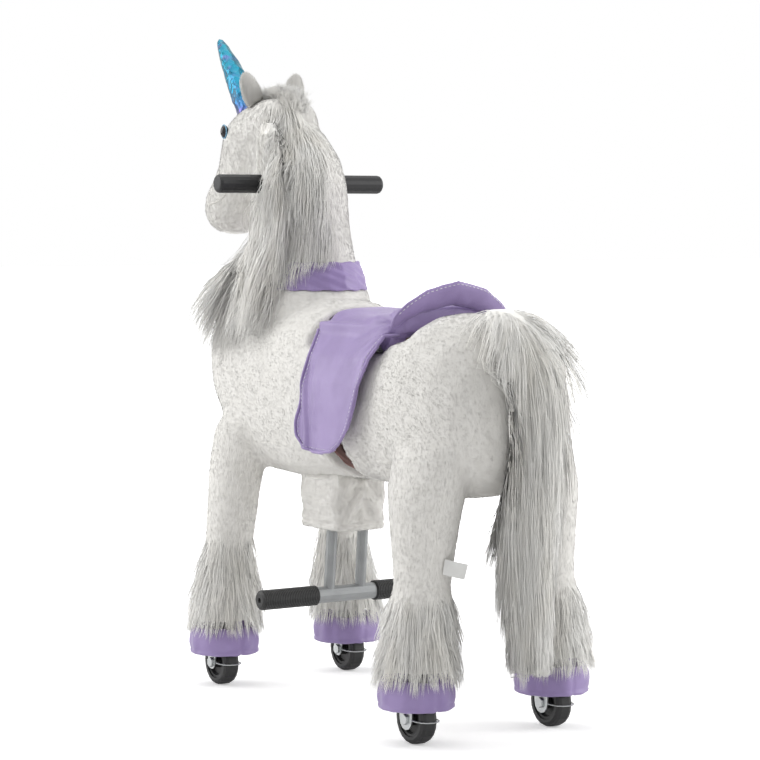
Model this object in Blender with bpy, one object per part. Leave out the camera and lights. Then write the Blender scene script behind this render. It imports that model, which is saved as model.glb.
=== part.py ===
"""Plush ride-on unicorn with hinged front and rear halves, pedals, a steering neck and four wheels.

Metres, +Z up, the animal faces -Y and its left side is +X. The origin is on the floor, under the middle of
the whole toy. Each half carries a steel leg frame inside its plush. Both leg frames hang on pins in the
saddle frame, and a spring draws them together.
"""

import math

import bmesh
import bpy
from mathutils import Matrix, Vector

# Clearances
RUNNING_GAP = 0.0003
PLUSH_GAP = 0.0008
CUT_OVERRUN = 0.100
MERGE_DISTANCE = 0.000001
FLAT_ANGLE = math.radians(0.2)

# Wheels and where they stand
WHEELBASE = 0.538
WHEELBASE_MIDDLE_Y = 0.030
TRACK = 0.226
WHEEL_RADIUS = 0.035
WHEEL_WIDTH = 0.025
TREAD_ROUNDING = 0.006
TYRE_THICKNESS = 0.0105
HUB_SIDE_STEP = 0.002
HUB_RECESS = 0.0055
HUB_RIM_THICKNESS = 0.0035
HUB_BOSS_RADIUS = 0.008

# Forks, axles and hair guards
AXLE_RADIUS = 0.004
HEX_RADIUS = 0.0076
HEX_THICKNESS = 0.0035
FORK_SIDE_GAP = 0.003
FORK_PLATE_THICKNESS = 0.0022
FORK_PLATE_WIDTH = 0.034
FORK_FOOT_RADIUS = 0.0105
FORK_CROWN_GAP = 0.009
KINGPIN_RADIUS = 0.006
KINGPIN_LENGTH = 0.028
GUARD_WIRE_RADIUS = 0.001
GUARD_REACH = 0.042

# Hooves
HOOF_RADIUS = 0.0505
HOOF_TOP_RADIUS = 0.0465
HOOF_BOTTOM_Z = 0.050
HOOF_HEIGHT = 0.042
HOOF_WALL = 0.0032
HOOF_HOLE_EASE = 0.0022

# Saddle frame and its two pivots
PIVOT_HEIGHT = 0.500
FRONT_PIVOT_Y = 0.020
REAR_PIVOT_Y = 0.160
PIVOT_PIN_RADIUS = 0.0075
PIN_HEAD_RADIUS = 0.012
PIN_HEAD_THICKNESS = 0.004
SIDE_PLATE_X = 0.0405
SIDE_PLATE_THICKNESS = 0.004
SIDE_PLATE_EDGE = 0.020
TOP_PLATE_THICKNESS = 0.004
SADDLE_RAIL_RISE = 0.036
SADDLE_RAIL_HALF_WIDTH = 0.058
SPACER_RADIUS = 0.008
HUB_TUBE_RADIUS = 0.016

# Leg frames
FRAME_TUBE_RADIUS = 0.014
LEG_TUBE_RADIUS = 0.011
LEG_CHANNEL_EASE = 1.4
LEG_TOP_HALF_WIDTH = 0.078
CROSS_TUBE_OVERHANG = 0.013
LEG_TUBE_TUCK = 0.004
FRONT_CROSS_Y = -0.222
REAR_CROSS_Y = 0.287
SPRING_LUG_DROP = 0.075
SPRING_LUG_THICKNESS = 0.008
SPRING_LUG_WIDTH = 0.020
SPRING_COIL_RADIUS = 0.0085
SPRING_WIRE_RADIUS = 0.0014
SPRING_TURNS = 10
SPRING_STEPS_PER_TURN = 6

# Pedals
PEDAL_Y = -0.066
PEDAL_HEIGHT = 0.152
PEDAL_BAR_RADIUS = 0.01225
PEDAL_HALF_LENGTH = 0.1465
PEDAL_GRIP_RADIUS = 0.0150
PEDAL_GRIP_INNER_X = 0.0505
PEDAL_BAR_END_WALL = 0.006
UPRIGHT_HALF_SPACING = 0.027
UPRIGHT_RADIUS = 0.0083
UPRIGHT_TIE_OVERHANG = 0.010
UPRIGHT_TIE_TUCK = 0.0026
UPRIGHT_LEAN = math.radians(5.3)
GUIDE_HEIGHT = 0.046
GUIDE_DEPTH = 0.030
GUIDE_HALF_WIDTH = 0.039

# Steering and handlebar
STEER_AXIS_Y = -0.1935
HANDLE_RISE = 0.150
HANDLE_HALF_LENGTH = 0.144
HANDLE_TUBE_RADIUS = 0.011
HANDLE_GRIP_RADIUS = 0.0140
HANDLE_GRIP_INNER_X = 0.0670
GRIP_END_ROUNDING = 0.005
GRIP_LIP = 0.001
HANDLE_BAR_END_WALL = 0.008
STEM_RADIUS = 0.012
STEM_BOTTOM_RISE = 0.020
HEAD_TUBE_RADIUS = 0.018
HEAD_TUBE_SETDOWN = 0.013
STEM_COLLAR_THICKNESS = 0.006
STEM_CLAMP_RADIUS = 0.019

# Plush torso, one lengthwise form that the two halves are cut from
TORSO_FRONT_Y = -0.346
TORSO_LENGTH = 0.734
TORSO_DROP = 0.178
TORSO_HEIGHT = 0.284
TORSO_HALF_WIDTH = 0.127
TORSO_SQUARENESS = 2.25
# along the length, lower edge, upper edge, half width
TORSO_SHARES = (
    (0.000, 0.53, 0.82, 0.26),
    (0.010, 0.41, 0.92, 0.50),
    (0.038, 0.23, 0.98, 0.70),
    (0.100, 0.09, 1.00, 0.81),
    (0.172, 0.00, 1.00, 0.85),
    (0.310, -0.015, 0.98, 0.88),
    (0.420, 0.00, 0.95, 0.91),
    (0.490, 0.03, 0.90, 0.93),
    (0.600, 0.03, 0.84, 0.955),
    (0.740, 0.01, 0.91, 0.99),
    (0.840, 0.00, 0.915, 1.00),
    (0.915, 0.03, 0.84, 0.94),
    (0.962, 0.10, 0.74, 0.80),
    (0.988, 0.20, 0.62, 0.57),
    (1.000, 0.31, 0.50, 0.28),
)
# height, half width, half length
NECK_SEAT_SHARES = ((0.0, 1.22, 1.05), (0.45, 1.22, 1.06), (0.80, 1.16, 1.05), (1.0, 1.08, 1.03))
NECK_SEAT_DEPTH = 0.120
TORSO_EDGE_LIMIT = 0.98

# The split between the halves, and the steps that clear the saddle
SPLIT_RISE = 0.050
FRONT_SPLIT_Y = 0.045
REAR_SPLIT_Y = 0.091
REAR_SPLIT_SLOPE = 0.80
FRONT_HALF_TOP_END_Y = -0.013
SHELF_RISE = 0.024
REAR_HALF_SHELF_REAR_Y = 0.198
REAR_HALF_STEP_RISE = 0.038
REAR_HALF_STEP_SLANT = 0.006
REAR_HALF_TOP_FRONT_Y = 0.237
CAVITY_HALF_WIDTH = 0.054
CAVITY_DROP = 0.105
CAVITY_RISE = 0.066
CAVITY_FRONT_Y = -0.075
CAVITY_REAR_Y = 0.222
LINER_INSET = 0.007
LINER_TOP_DROP = 0.048

# Plush legs: height, sideways place, lengthwise place, half width, half length
LEG_TOP_RISE = 0.118
LEG_SHANK_RADIUS = 0.040
LEG_TOP_INSET = 0.037
LEG_TOP_SHIFT = 0.024
FRONT_LEG_INWARD = 0.003
FRONT_LEG_BACK = 0.004
FRONT_LEG_SHARES = (
    (1.00, 1.45, 0.25, 0.75, 1.00),
    (0.86, 0.85, 0.18, 1.08, 1.25),
    (0.72, 0.60, 0.12, 1.08, 1.18),
    (0.58, 0.44, 0.06, 1.03, 1.06),
    (0.44, 0.31, 0.02, 0.99, 0.99),
    (0.345, 0.22, 0.0, 0.95, 0.96),
    (0.29, 0.18, 0.0, 1.10, 1.12),
    (0.16, 0.12, 0.0, 1.32, 1.34),
    (0.07, 0.04, 0.0, 1.40, 1.42),
    (0.00, 0.0, 0.0, 1.36, 1.38),
)
REAR_LEG_SHARES = (
    (1.00, 1.40, -0.25, 0.85, 1.45),
    (0.86, 0.82, -0.22, 1.25, 1.75),
    (0.72, 0.50, -0.16, 1.28, 1.62),
    (0.58, 0.38, -0.10, 1.18, 1.33),
    (0.44, 0.30, -0.04, 1.07, 1.11),
    (0.345, 0.24, 0.0, 1.00, 1.02),
    (0.29, 0.20, 0.0, 1.14, 1.16),
    (0.16, 0.13, 0.0, 1.38, 1.40),
    (0.07, 0.05, 0.0, 1.46, 1.48),
    (0.00, 0.0, 0.0, 1.42, 1.44),
)

# Belly skirt round the pedal uprights
SKIRT_HALF_WIDTH = 0.046
SKIRT_FRONT_Y = -0.130
SKIRT_REAR_Y = -0.012
SKIRT_HEIGHT = 0.095
SKIRT_TUCK = 0.023
SKIRT_WALL = 0.006
SKIRT_CORNER_SQUARENESS = 5.0

# Neck, head and what is on them
NECK_SEAT_RISE = 0.005
NECK_ABOVE_HANDLE = 0.101
NECK_HALF_WIDTH = 0.079
NECK_HALF_DEPTH = 0.118
NECK_LEAN = 0.083
NECK_BASE_Y = -0.179
# height, backward lean, half width, half depth
NECK_SHARES = (
    (0.00, 0.00, 1.00, 1.00),
    (0.14, 0.11, 0.89, 0.92),
    (0.35, 0.20, 0.85, 0.86),
    (0.59, 0.22, 0.81, 0.83),
    (0.75, 0.33, 0.77, 0.75),
    (0.91, 0.68, 0.70, 0.60),
    (1.00, 1.00, 0.56, 0.45),
)
COLLAR_HEIGHT = 0.035
COLLAR_THICKNESS = 0.004
HEAD_BACK_Y = -0.245
HEAD_ABOVE_HANDLE = 0.084
HEAD_SLOPE = math.radians(40.2)
HEAD_LENGTH = 0.281
HEAD_START = -0.055
HEAD_HALF_WIDTH = 0.0625
HEAD_HALF_HEIGHT = 0.077
# along the head, brow height, jaw height, half width
HEAD_SHARES = (
    (0.000, 0.16, -0.24, 0.32),
    (0.036, 0.40, -0.45, 0.64),
    (0.125, 0.65, -0.63, 0.88),
    (0.200, 0.76, -0.70, 0.96),
    (0.300, 0.90, -0.72, 1.00),
    (0.410, 1.00, -0.71, 0.99),
    (0.515, 0.92, -0.69, 0.94),
    (0.620, 0.78, -0.65, 0.88),
    (0.730, 0.69, -0.62, 0.86),
    (0.840, 0.62, -0.59, 0.89),
    (0.925, 0.49, -0.52, 0.80),
    (0.980, 0.30, -0.36, 0.57),
    (1.000, 0.11, -0.16, 0.26),
)
HORN_BASE_Y = -0.322
HORN_BASE_RISE = 0.008
HORN_TIP_Y = -0.442
HORN_TIP_RISE = 0.149
HORN_BASE_RADIUS = 0.0230
HORN_TIP_RADIUS = 0.0050
# along the horn, radius
HORN_SHARES = ((0.0, 1.0), (0.32, 0.87), (0.70, 0.62), (0.88, 0.41))
EAR_BASE_X = 0.030
EAR_TIP_X = 0.045
EAR_BASE_Y = -0.268
EAR_TIP_Y = -0.280
EAR_BASE_RISE = 0.027
EAR_TIP_RISE = 0.088
EAR_HALF_WIDTH = 0.0185
EAR_HALF_THICKNESS = 0.009
EAR_HOLLOW = 0.7
# height, half width
EAR_SHARES = ((0.0, 0.82), (0.35, 1.0), (0.65, 0.93), (0.85, 0.68), (0.96, 0.38), (1.0, 0.14))
EYE_Y = -0.320
EYE_DROP = 0.004
EYE_HALF_LENGTH = 0.0065
EYE_HALF_HEIGHT = 0.0100
EYE_STAND_OUT = 0.0042

# Mane on the left of the neck
MANE_BOTTOM_RISE = 0.005
MANE_TOP_RISE = 0.035
MANE_THICKNESS = 0.016
MANE_HALF_BREADTH = 0.072
MANE_SIDE_X = 0.070
# height, sideways place, lengthwise place, thickness, breadth
MANE_SHARES = (
    (0.00, 1.13, -0.04, 1.15, 0.98),
    (0.15, 1.02, 0.04, 1.10, 1.00),
    (0.38, 0.92, 0.05, 1.05, 1.00),
    (0.62, 0.83, -0.05, 1.05, 0.92),
    (0.82, 0.68, -0.40, 1.20, 0.80),
    (0.95, 0.43, -0.80, 1.40, 0.60),
    (1.00, 0.31, -0.95, 1.00, 0.40),
)

# Tail and care label
TAIL_TOP_DROP = 0.016
TAIL_BOTTOM_Z = 0.085
TAIL_RADIUS = 0.052
TAIL_Y = 0.3942
TAIL_ROOT_SETBACK = 0.058
TAIL_SIDE_X = -0.011
# height, sideways place, setback towards the rump, half width, half depth
TAIL_SHARES = (
    (1.00, 0.0, 1.00, 0.46, 0.40),
    (0.97, 0.0, 0.72, 0.72, 0.76),
    (0.90, 0.4, 0.20, 0.94, 0.92),
    (0.79, 1.0, -0.02, 1.02, 0.92),
    (0.60, 1.0, 0.08, 0.98, 0.84),
    (0.38, 0.9, 0.22, 0.88, 0.77),
    (0.17, 1.2, 0.20, 0.70, 0.65),
    (0.06, 1.2, 0.16, 0.48, 0.46),
    (0.00, 1.2, 0.16, 0.20, 0.20),
)
LABEL_LENGTH = 0.036
LABEL_HEIGHT = 0.021
LABEL_THICKNESS = 0.0008
LABEL_LIFT = 0.44
LABEL_SEAM_DEPTH = 0.004
LABEL_TURN = math.radians(38.0)
LABEL_DROP = math.radians(13.0)

# Saddle
SEAT_FRONT_Y = -0.003
SEAT_LENGTH = 0.215
SEAT_HALF_WIDTH = 0.092
SEAT_HEIGHT = 0.049
SEAT_SQUARENESS = 3.2
BOARD_THICKNESS = 0.010
BOARD_HALF_WIDTH = 0.072
BOARD_CORNER = 0.020
BOARD_SETBACK = 0.012
# along the seat, half width, height
SEAT_SHARES = (
    (0.00, 0.62, 0.24),
    (0.02, 0.71, 0.47),
    (0.07, 0.79, 0.61),
    (0.18, 0.88, 0.60),
    (0.38, 0.93, 0.49),
    (0.62, 0.98, 0.54),
    (0.85, 1.00, 0.76),
    (0.97, 0.88, 0.78),
    (1.00, 0.82, 0.70),
)
CANTLE_HALF_SPAN = 0.0975
CANTLE_Y = 0.2255
CANTLE_SWEEP = 0.014
CANTLE_RISE = 0.0555
CANTLE_DROOP = 0.041
CANTLE_HALF_HEIGHT = 0.0195
CANTLE_HALF_THICKNESS = 0.0068
# along a half of the cantle, size of its section
CANTLE_SHARES = ((0.0, 1.0), (0.5, 0.95), (0.8, 0.84), (0.94, 0.70), (1.0, 0.42))
CANTLE_LEAN = math.radians(24.0)
FLAP_DROP = 0.174
FLAP_LENGTH = 0.200
FLAP_FRONT_Y = 0.000
FLAP_STAND_OFF = 0.006
FLAP_REAR_LIFT = 0.006  # more room at the rear edge, where the rump rises
FLAP_THICKNESS = 0.004
FLAP_HALF_SPAN = 0.128
# drop, front edge, rear edge, sideways place
FLAP_SHARES = (
    (0.00, 0.045, 1.05, 0.655),
    (0.20, 0.110, 1.01, 0.80),
    (0.40, 0.120, 0.97, 0.90),
    (0.60, 0.080, 0.91, 0.96),
    (0.75, 0.035, 0.84, 0.98),
    (0.87, 0.055, 0.74, 0.99),
    (0.95, 0.140, 0.62, 1.00),
    (1.00, 0.280, 0.45, 1.00),
)

# Facets
ROUND_SIDES = 16
WIRE_SIDES = 5
PLUSH_SIDES = 20
WHEEL_SIDES = 20

# Places worked out from the sizes above
FRONT_WHEEL_Y = WHEELBASE_MIDDLE_Y - WHEELBASE / 2
REAR_WHEEL_Y = WHEELBASE_MIDDLE_Y + WHEELBASE / 2
WHEEL_X = TRACK / 2
CROWN_BOTTOM_Z = WHEEL_RADIUS * 2 + FORK_CROWN_GAP
CROWN_TOP_Z = CROWN_BOTTOM_Z + FORK_PLATE_THICKNESS
LEG_TUBE_BOTTOM_Z = CROWN_TOP_Z + RUNNING_GAP
FORK_INNER_X = WHEEL_WIDTH / 2 + FORK_SIDE_GAP
FORK_OUTER_X = FORK_INNER_X + FORK_PLATE_THICKNESS
HOOF_TOP_Z = HOOF_BOTTOM_Z + HOOF_HEIGHT
HUB_TUBE_HALF_LENGTH = SIDE_PLATE_X - RUNNING_GAP
TORSO_LOW_Z = PIVOT_HEIGHT - TORSO_DROP
TORSO_TOP_Z = TORSO_LOW_Z + TORSO_HEIGHT
NECK_BOTTOM_Z = TORSO_TOP_Z + NECK_SEAT_RISE
NECK_HEIGHT = HANDLE_RISE + NECK_ABOVE_HANDLE
HANDLE_HEIGHT = NECK_BOTTOM_Z + HANDLE_RISE
HEAD_BACK_Z = HANDLE_HEIGHT + HEAD_ABOVE_HANDLE
HEAD_TUBE_TOP_Z = NECK_BOTTOM_Z - HEAD_TUBE_SETDOWN
STEM_BOTTOM_Z = PIVOT_HEIGHT + STEM_BOTTOM_RISE
SADDLE_RAIL_Z = PIVOT_HEIGHT + SADDLE_RAIL_RISE
SPLIT_Z = TORSO_LOW_Z + SPLIT_RISE
SHELF_Z = PIVOT_HEIGHT + SHELF_RISE
REAR_HALF_STEP_Z = PIVOT_HEIGHT + REAR_HALF_STEP_RISE
CAVITY_FLOOR_Z = PIVOT_HEIGHT - CAVITY_DROP
CAVITY_TOP_Z = PIVOT_HEIGHT + CAVITY_RISE
LEG_BOTTOM_Z = HOOF_TOP_Z + PLUSH_GAP
LEG_TOP_Z = TORSO_LOW_Z + LEG_TOP_RISE
SKIRT_TOP_Z = TORSO_LOW_Z + SKIRT_TUCK
SKIRT_BOTTOM_Z = SKIRT_TOP_Z - SKIRT_HEIGHT
TAIL_TOP_Z = TORSO_TOP_Z - TAIL_TOP_DROP
LABEL_Z = LEG_BOTTOM_Z + (LEG_TOP_Z - LEG_BOTTOM_Z) * LABEL_LIFT
UPRIGHT_SHIFT = math.tan(UPRIGHT_LEAN)
SPINE_TOP_Z = PIVOT_HEIGHT + FRAME_TUBE_RADIUS
UPRIGHT_TOP_Z = SPINE_TOP_Z + RUNNING_GAP + UPRIGHT_RADIUS
BOARD_BASE_Z = SADDLE_RAIL_Z + TOP_PLATE_THICKNESS + RUNNING_GAP
SEAT_BASE_Z = BOARD_BASE_Z + BOARD_THICKNESS + RUNNING_GAP
FLAP_TOP_Z = SEAT_BASE_Z - RUNNING_GAP
CANTLE_Z = SEAT_BASE_Z + CANTLE_RISE
SPRING_Z = PIVOT_HEIGHT - SPRING_LUG_DROP

WHITE_PLUSH = ("white_plush", (0.86, 0.85, 0.83), 0.95, 0.0)
LONG_HAIR = ("long_hair", (0.90, 0.89, 0.87), 0.80, 0.0)
LILAC_CLOTH = ("lilac_cloth", (0.42, 0.28, 0.66), 0.60, 0.0)
BROWN_CLOTH = ("brown_cloth", (0.05, 0.025, 0.018), 0.90, 0.0)
GREY_PAINT = ("grey_paint", (0.50, 0.51, 0.53), 0.35, 0.6)
ZINC_PLATE = ("zinc_plate", (0.72, 0.72, 0.70), 0.30, 1.0)
BLACK_RUBBER = ("black_rubber", (0.012, 0.012, 0.013), 0.55, 0.0)
BLACK_NYLON = ("black_nylon", (0.03, 0.03, 0.032), 0.45, 0.0)
SPRING_STEEL = ("spring_steel", (0.35, 0.35, 0.36), 0.30, 1.0)
PLYWOOD = ("plywood", (0.55, 0.40, 0.24), 0.70, 0.0)
FOIL = ("foil", (0.10, 0.42, 0.70), 0.20, 0.8)
EYE_BLACK = ("eye_black", (0.01, 0.01, 0.02), 0.08, 0.0)
WHITE_TAPE = ("white_tape", (0.92, 0.92, 0.92), 0.70, 0.0)


def clear_scene():
    for item in list(bpy.data.objects):
        bpy.data.objects.remove(item, do_unlink=True)


def material(finish):
    name, colour, roughness, metallic = finish
    made = bpy.data.materials.get(name)
    if made is None:
        made = bpy.data.materials.new(name)
        made.use_nodes = True
        shader = made.node_tree.nodes["Principled BSDF"]
        shader.inputs["Base Color"].default_value = (*colour, 1.0)
        shader.inputs["Roughness"].default_value = roughness
        shader.inputs["Metallic"].default_value = metallic
    return made


def mesh_object(name, shape, finish):
    """An object from a filled bmesh, with flat triangles that point out."""
    bmesh.ops.triangulate(shape, faces=shape.faces)
    bmesh.ops.recalc_face_normals(shape, faces=shape.faces)
    mesh = bpy.data.meshes.new(name)
    shape.to_mesh(mesh)
    shape.free()
    made = bpy.data.objects.new(name, mesh)
    bpy.context.scene.collection.objects.link(made)
    mesh.materials.append(material(finish))
    return made


def closed(shape):
    return all(edge.is_manifold for edge in shape.edges)


def fewer_faces(mesh):
    """The mesh with near points merged and flat areas in fewer triangles, as far as it stays closed."""
    kept = bmesh.new()
    kept.from_mesh(mesh)
    for step in ("merge", "dissolve"):
        tried = kept.copy()
        if step == "merge":
            bmesh.ops.remove_doubles(tried, verts=tried.verts, dist=MERGE_DISTANCE)
        else:
            bmesh.ops.dissolve_limit(tried, angle_limit=FLAT_ANGLE, verts=tried.verts, edges=tried.edges)
        bmesh.ops.triangulate(tried, faces=tried.faces)
        if closed(tried):
            kept.free()
            kept = tried
        else:
            tried.free()
    bmesh.ops.triangulate(kept, faces=kept.faces)
    kept.to_mesh(mesh)
    kept.free()


def apply_boolean(target, tool, operation):
    """Joins, cuts or trims the target with the tool, and removes the tool."""
    step = target.modifiers.new(operation.lower(), "BOOLEAN")
    step.operation = operation
    step.solver = "EXACT"
    step.object = tool
    bpy.context.view_layer.update()
    graph = bpy.context.evaluated_depsgraph_get()
    result = bpy.data.meshes.new_from_object(target.evaluated_get(graph))
    target.modifiers.clear()
    fewer_faces(result)
    old = target.data
    target.data = result
    result.name = old.name
    bpy.data.meshes.remove(old)
    used = tool.data
    bpy.data.objects.remove(tool, do_unlink=True)
    bpy.data.meshes.remove(used)
    return target


def smooth(item, angle=math.radians(35.0)):
    item.data.shade_smooth()
    item.data.set_sharp_from_angle(angle=angle)
    return item


def rod_matrix(start, end):
    line = end - start
    turn = line.to_track_quat("Z", "Y").to_matrix().to_4x4()
    return Matrix.Translation((start + end) / 2) @ turn


def rod(start, end, radius, end_radius=None, sides=ROUND_SIDES, grow=0.0):
    """A round bar between two points, as a bmesh."""
    start, end = Vector(start), Vector(end)
    shape = bmesh.new()
    bmesh.ops.create_cone(
        shape,
        cap_ends=True,
        segments=sides,
        radius1=radius + grow,
        radius2=(radius if end_radius is None else end_radius) + grow,
        depth=(end - start).length + 2 * grow,
        matrix=rod_matrix(start, end),
    )
    return shape


def block(low, high):
    """A box between two corners, as a bmesh."""
    low, high = Vector(low), Vector(high)
    shape = bmesh.new()
    place = Matrix.Translation((low + high) / 2) @ Matrix.Diagonal((*(high - low), 1.0))
    bmesh.ops.create_cube(shape, size=1.0, matrix=place)
    return shape


def prism(outline, low_x, high_x):
    """A (y, z) outline carried sideways from low_x to high_x, as a bmesh."""
    shape = bmesh.new()
    near = [shape.verts.new((low_x, y, z)) for y, z in outline]
    face = shape.faces.new(near)
    grown = bmesh.ops.extrude_face_region(shape, geom=[face])["geom"]
    moved = [v for v in grown if isinstance(v, bmesh.types.BMVert)]
    bmesh.ops.translate(shape, verts=moved, vec=(high_x - low_x, 0, 0))
    return shape


def loft(rings):
    """A closed form through rings of equal count, with flat ends, as a bmesh."""
    shape = bmesh.new()
    rows = [[shape.verts.new(point) for point in ring] for ring in rings]
    count = len(rows[0])
    for near, far in zip(rows, rows[1:]):
        for i in range(count):
            j = (i + 1) % count
            shape.faces.new((near[i], near[j], far[j], far[i]))
    shape.faces.new(list(reversed(rows[0])))
    shape.faces.new(rows[-1])
    return shape


def turned(profile, start, direction, sides=ROUND_SIDES, hollow=False):
    """A (radius, along) profile turned round an axis. A hollow profile is a closed loop clear of the axis."""
    start, direction = Vector(start), Vector(direction).normalized()
    turn = direction.to_track_quat("Z", "Y").to_matrix()
    shape = bmesh.new()
    rows = []
    for radius, along in profile:
        ring = []
        for i in range(sides):
            angle = 2 * math.pi * i / sides
            local = Vector((radius * math.cos(angle), radius * math.sin(angle), along))
            ring.append(shape.verts.new(start + turn @ local))
        rows.append(ring)
    pairs = list(zip(rows, rows[1:]))
    if hollow:
        pairs.append((rows[-1], rows[0]))
    for near, far in pairs:
        for i in range(sides):
            j = (i + 1) % sides
            shape.faces.new((near[i], near[j], far[j], far[i]))
    if not hollow:
        shape.faces.new(list(reversed(rows[0])))
        shape.faces.new(rows[-1])
    return shape


def superellipse(half_width, half_height, squareness, sides):
    """Points round a rounded box, counter-clockwise, starting at its right."""
    points = []
    for i in range(sides):
        angle = 2 * math.pi * i / sides
        c, s = math.cos(angle), math.sin(angle)
        points.append(
            (
                half_width * math.copysign(abs(c) ** (2 / squareness), c),
                half_height * math.copysign(abs(s) ** (2 / squareness), s),
            )
        )
    return points


def blended_rows(rows, steps):
    """A Catmull-Rom curve through rows of numbers, steps to a span."""
    found = []
    last = len(rows) - 1
    for i in range(last):
        before, here = rows[max(i - 1, 0)], rows[i]
        there, after = rows[i + 1], rows[min(i + 2, last)]
        for k in range(steps):
            t = k / steps
            found.append(
                tuple(
                    0.5 * (2 * b + (c - a) * t + (2 * a - 5 * b + 4 * c - d) * t * t + (3 * b - a - 3 * c + d) * t ** 3)
                    for a, b, c, d in zip(before, here, there, after)
                )
            )
    found.append(tuple(rows[-1]))
    return found


def join(first, *others):
    """One mesh object out of several overlapping bmeshes."""
    for other in others:
        tool = mesh_object("tool", other, ZINC_PLATE)
        apply_boolean(first, tool, "UNION")
    return first


def cut(target, *tools):
    for tool in tools:
        apply_boolean(target, mesh_object("tool", tool, ZINC_PLATE), "DIFFERENCE")
    return target


def cut_channel(target, tubes):
    """One channel through the target for tubes that meet each other."""
    channel = mesh_object("channel", tubes[0], ZINC_PLATE)
    join(channel, *tubes[1:])
    return apply_boolean(target, channel, "DIFFERENCE")


def side_name(side):
    return "left" if side > 0 else "right"


def torso_row(along):
    """Lower edge, upper edge and half width of the torso at a share of its length."""
    rows = TORSO_SHARES
    for near, far in zip(rows, rows[1:]):
        if along <= far[0]:
            t = max(0.0, (along - near[0]) / (far[0] - near[0]))
            return tuple(a + (b - a) * t for a, b in zip(near[1:], far[1:]))
    return rows[-1][1:]


def torso_ring(along, low, high, wide, grow):
    middle = TORSO_LOW_Z + TORSO_HEIGHT * (low + high) / 2
    half_height = TORSO_HEIGHT * (high - low) / 2 + grow
    half_width = TORSO_HALF_WIDTH * wide + grow
    y = TORSO_FRONT_Y + TORSO_LENGTH * along
    return [
        Vector((x, y, middle + z))
        for x, z in superellipse(half_width, half_height, TORSO_SQUARENESS, PLUSH_SIDES)
    ]


def torso(grow=0.0):
    """The whole plush torso, made larger all round by grow."""
    rings = [torso_ring(*row, grow) for row in TORSO_SHARES]
    for point in rings[0]:
        point.y -= grow
    for point in rings[-1]:
        point.y += grow
    return loft(rings)


def torso_side_x(y, z):
    """Half width of the torso at a height, and below its middle the half width there."""
    low, high, wide = torso_row((y - TORSO_FRONT_Y) / TORSO_LENGTH)
    middle = TORSO_LOW_Z + TORSO_HEIGHT * (low + high) / 2
    half_height = TORSO_HEIGHT * (high - low) / 2
    rise = min(max((z - middle) / half_height, 0.0), TORSO_EDGE_LIMIT)
    return TORSO_HALF_WIDTH * wide * (1 - rise ** TORSO_SQUARENESS) ** (1 / TORSO_SQUARENESS)


def neck_ring(lift, lean, wide, deep, grow):
    z = NECK_BOTTOM_Z + NECK_HEIGHT * lift
    y = NECK_BASE_Y - NECK_LEAN * lean
    return [
        Vector((x, y + d, z))
        for x, d in superellipse(NECK_HALF_WIDTH * wide + grow, NECK_HALF_DEPTH * deep + grow, 2.0, PLUSH_SIDES)
    ]


def neck_rings(grow=0.0):
    return [neck_ring(*row, grow) for row in blended_rows(NECK_SHARES, 1)]


def head_rings(grow=0.0):
    """Rings square to a line that runs from the back of the head down to the muzzle."""
    along_dir = Vector((0, -math.cos(HEAD_SLOPE), -math.sin(HEAD_SLOPE)))
    up_dir = Vector((0, -math.sin(HEAD_SLOPE), math.cos(HEAD_SLOPE)))
    start = Vector((0, HEAD_BACK_Y, HEAD_BACK_Z)) + along_dir * HEAD_START
    rings = []
    for share, brow, jaw, wide in HEAD_SHARES:
        middle = HEAD_HALF_HEIGHT * (brow + jaw) / 2
        tall = HEAD_HALF_HEIGHT * (brow - jaw) / 2 + grow
        across = HEAD_HALF_WIDTH * wide + grow
        at = start + along_dir * (HEAD_LENGTH * share) + up_dir * middle
        rings.append([at + Vector((x, 0, 0)) + up_dir * h for x, h in superellipse(across, tall, 2.1, PLUSH_SIDES)])
    for point in rings[0]:
        point -= along_dir * grow
    for point in rings[-1]:
        point += along_dir * grow
    return rings


def leg_place(place):
    """Sideways and lengthwise place of a leg's foot, which stands a little off the front kingpins."""
    if place == "front":
        return WHEEL_X - FRONT_LEG_INWARD, FRONT_WHEEL_Y + FRONT_LEG_BACK
    return WHEEL_X, REAR_WHEEL_Y


def leg_rings(place, side, grow=0.0):
    rings = []
    foot_x, foot_y = leg_place(place)
    for lift, inward, shift, wide, deep in (FRONT_LEG_SHARES if place == "front" else REAR_LEG_SHARES):
        z = LEG_BOTTOM_Z + (LEG_TOP_Z - LEG_BOTTOM_Z) * lift
        x = side * (foot_x - LEG_TOP_INSET * inward)
        y = foot_y + LEG_TOP_SHIFT * shift
        rings.append(
            [
                Vector((x + a, y + b, z))
                for a, b in superellipse(LEG_SHANK_RADIUS * wide + grow, LEG_SHANK_RADIUS * deep + grow, 2.0, PLUSH_SIDES)
            ]
        )
    rings.reverse()
    return rings


def rear_face_y(z):
    """Lengthwise place of the rear half's front face: slanted below, upright above."""
    return REAR_SPLIT_Y - max(SPLIT_Z - z, 0) * REAR_SPLIT_SLOPE


def front_split_outline():
    """Side outline of everything behind the front half."""
    foot_z = TORSO_LOW_Z - CUT_OVERRUN
    far_y = TORSO_FRONT_Y + TORSO_LENGTH + CUT_OVERRUN
    top_z = TORSO_TOP_Z + CUT_OVERRUN
    return (
        (FRONT_SPLIT_Y, foot_z),
        (far_y, foot_z),
        (far_y, top_z),
        (FRONT_HALF_TOP_END_Y, top_z),
        (FRONT_HALF_TOP_END_Y, SHELF_Z),
        (FRONT_SPLIT_Y, SHELF_Z),
    )


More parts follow.
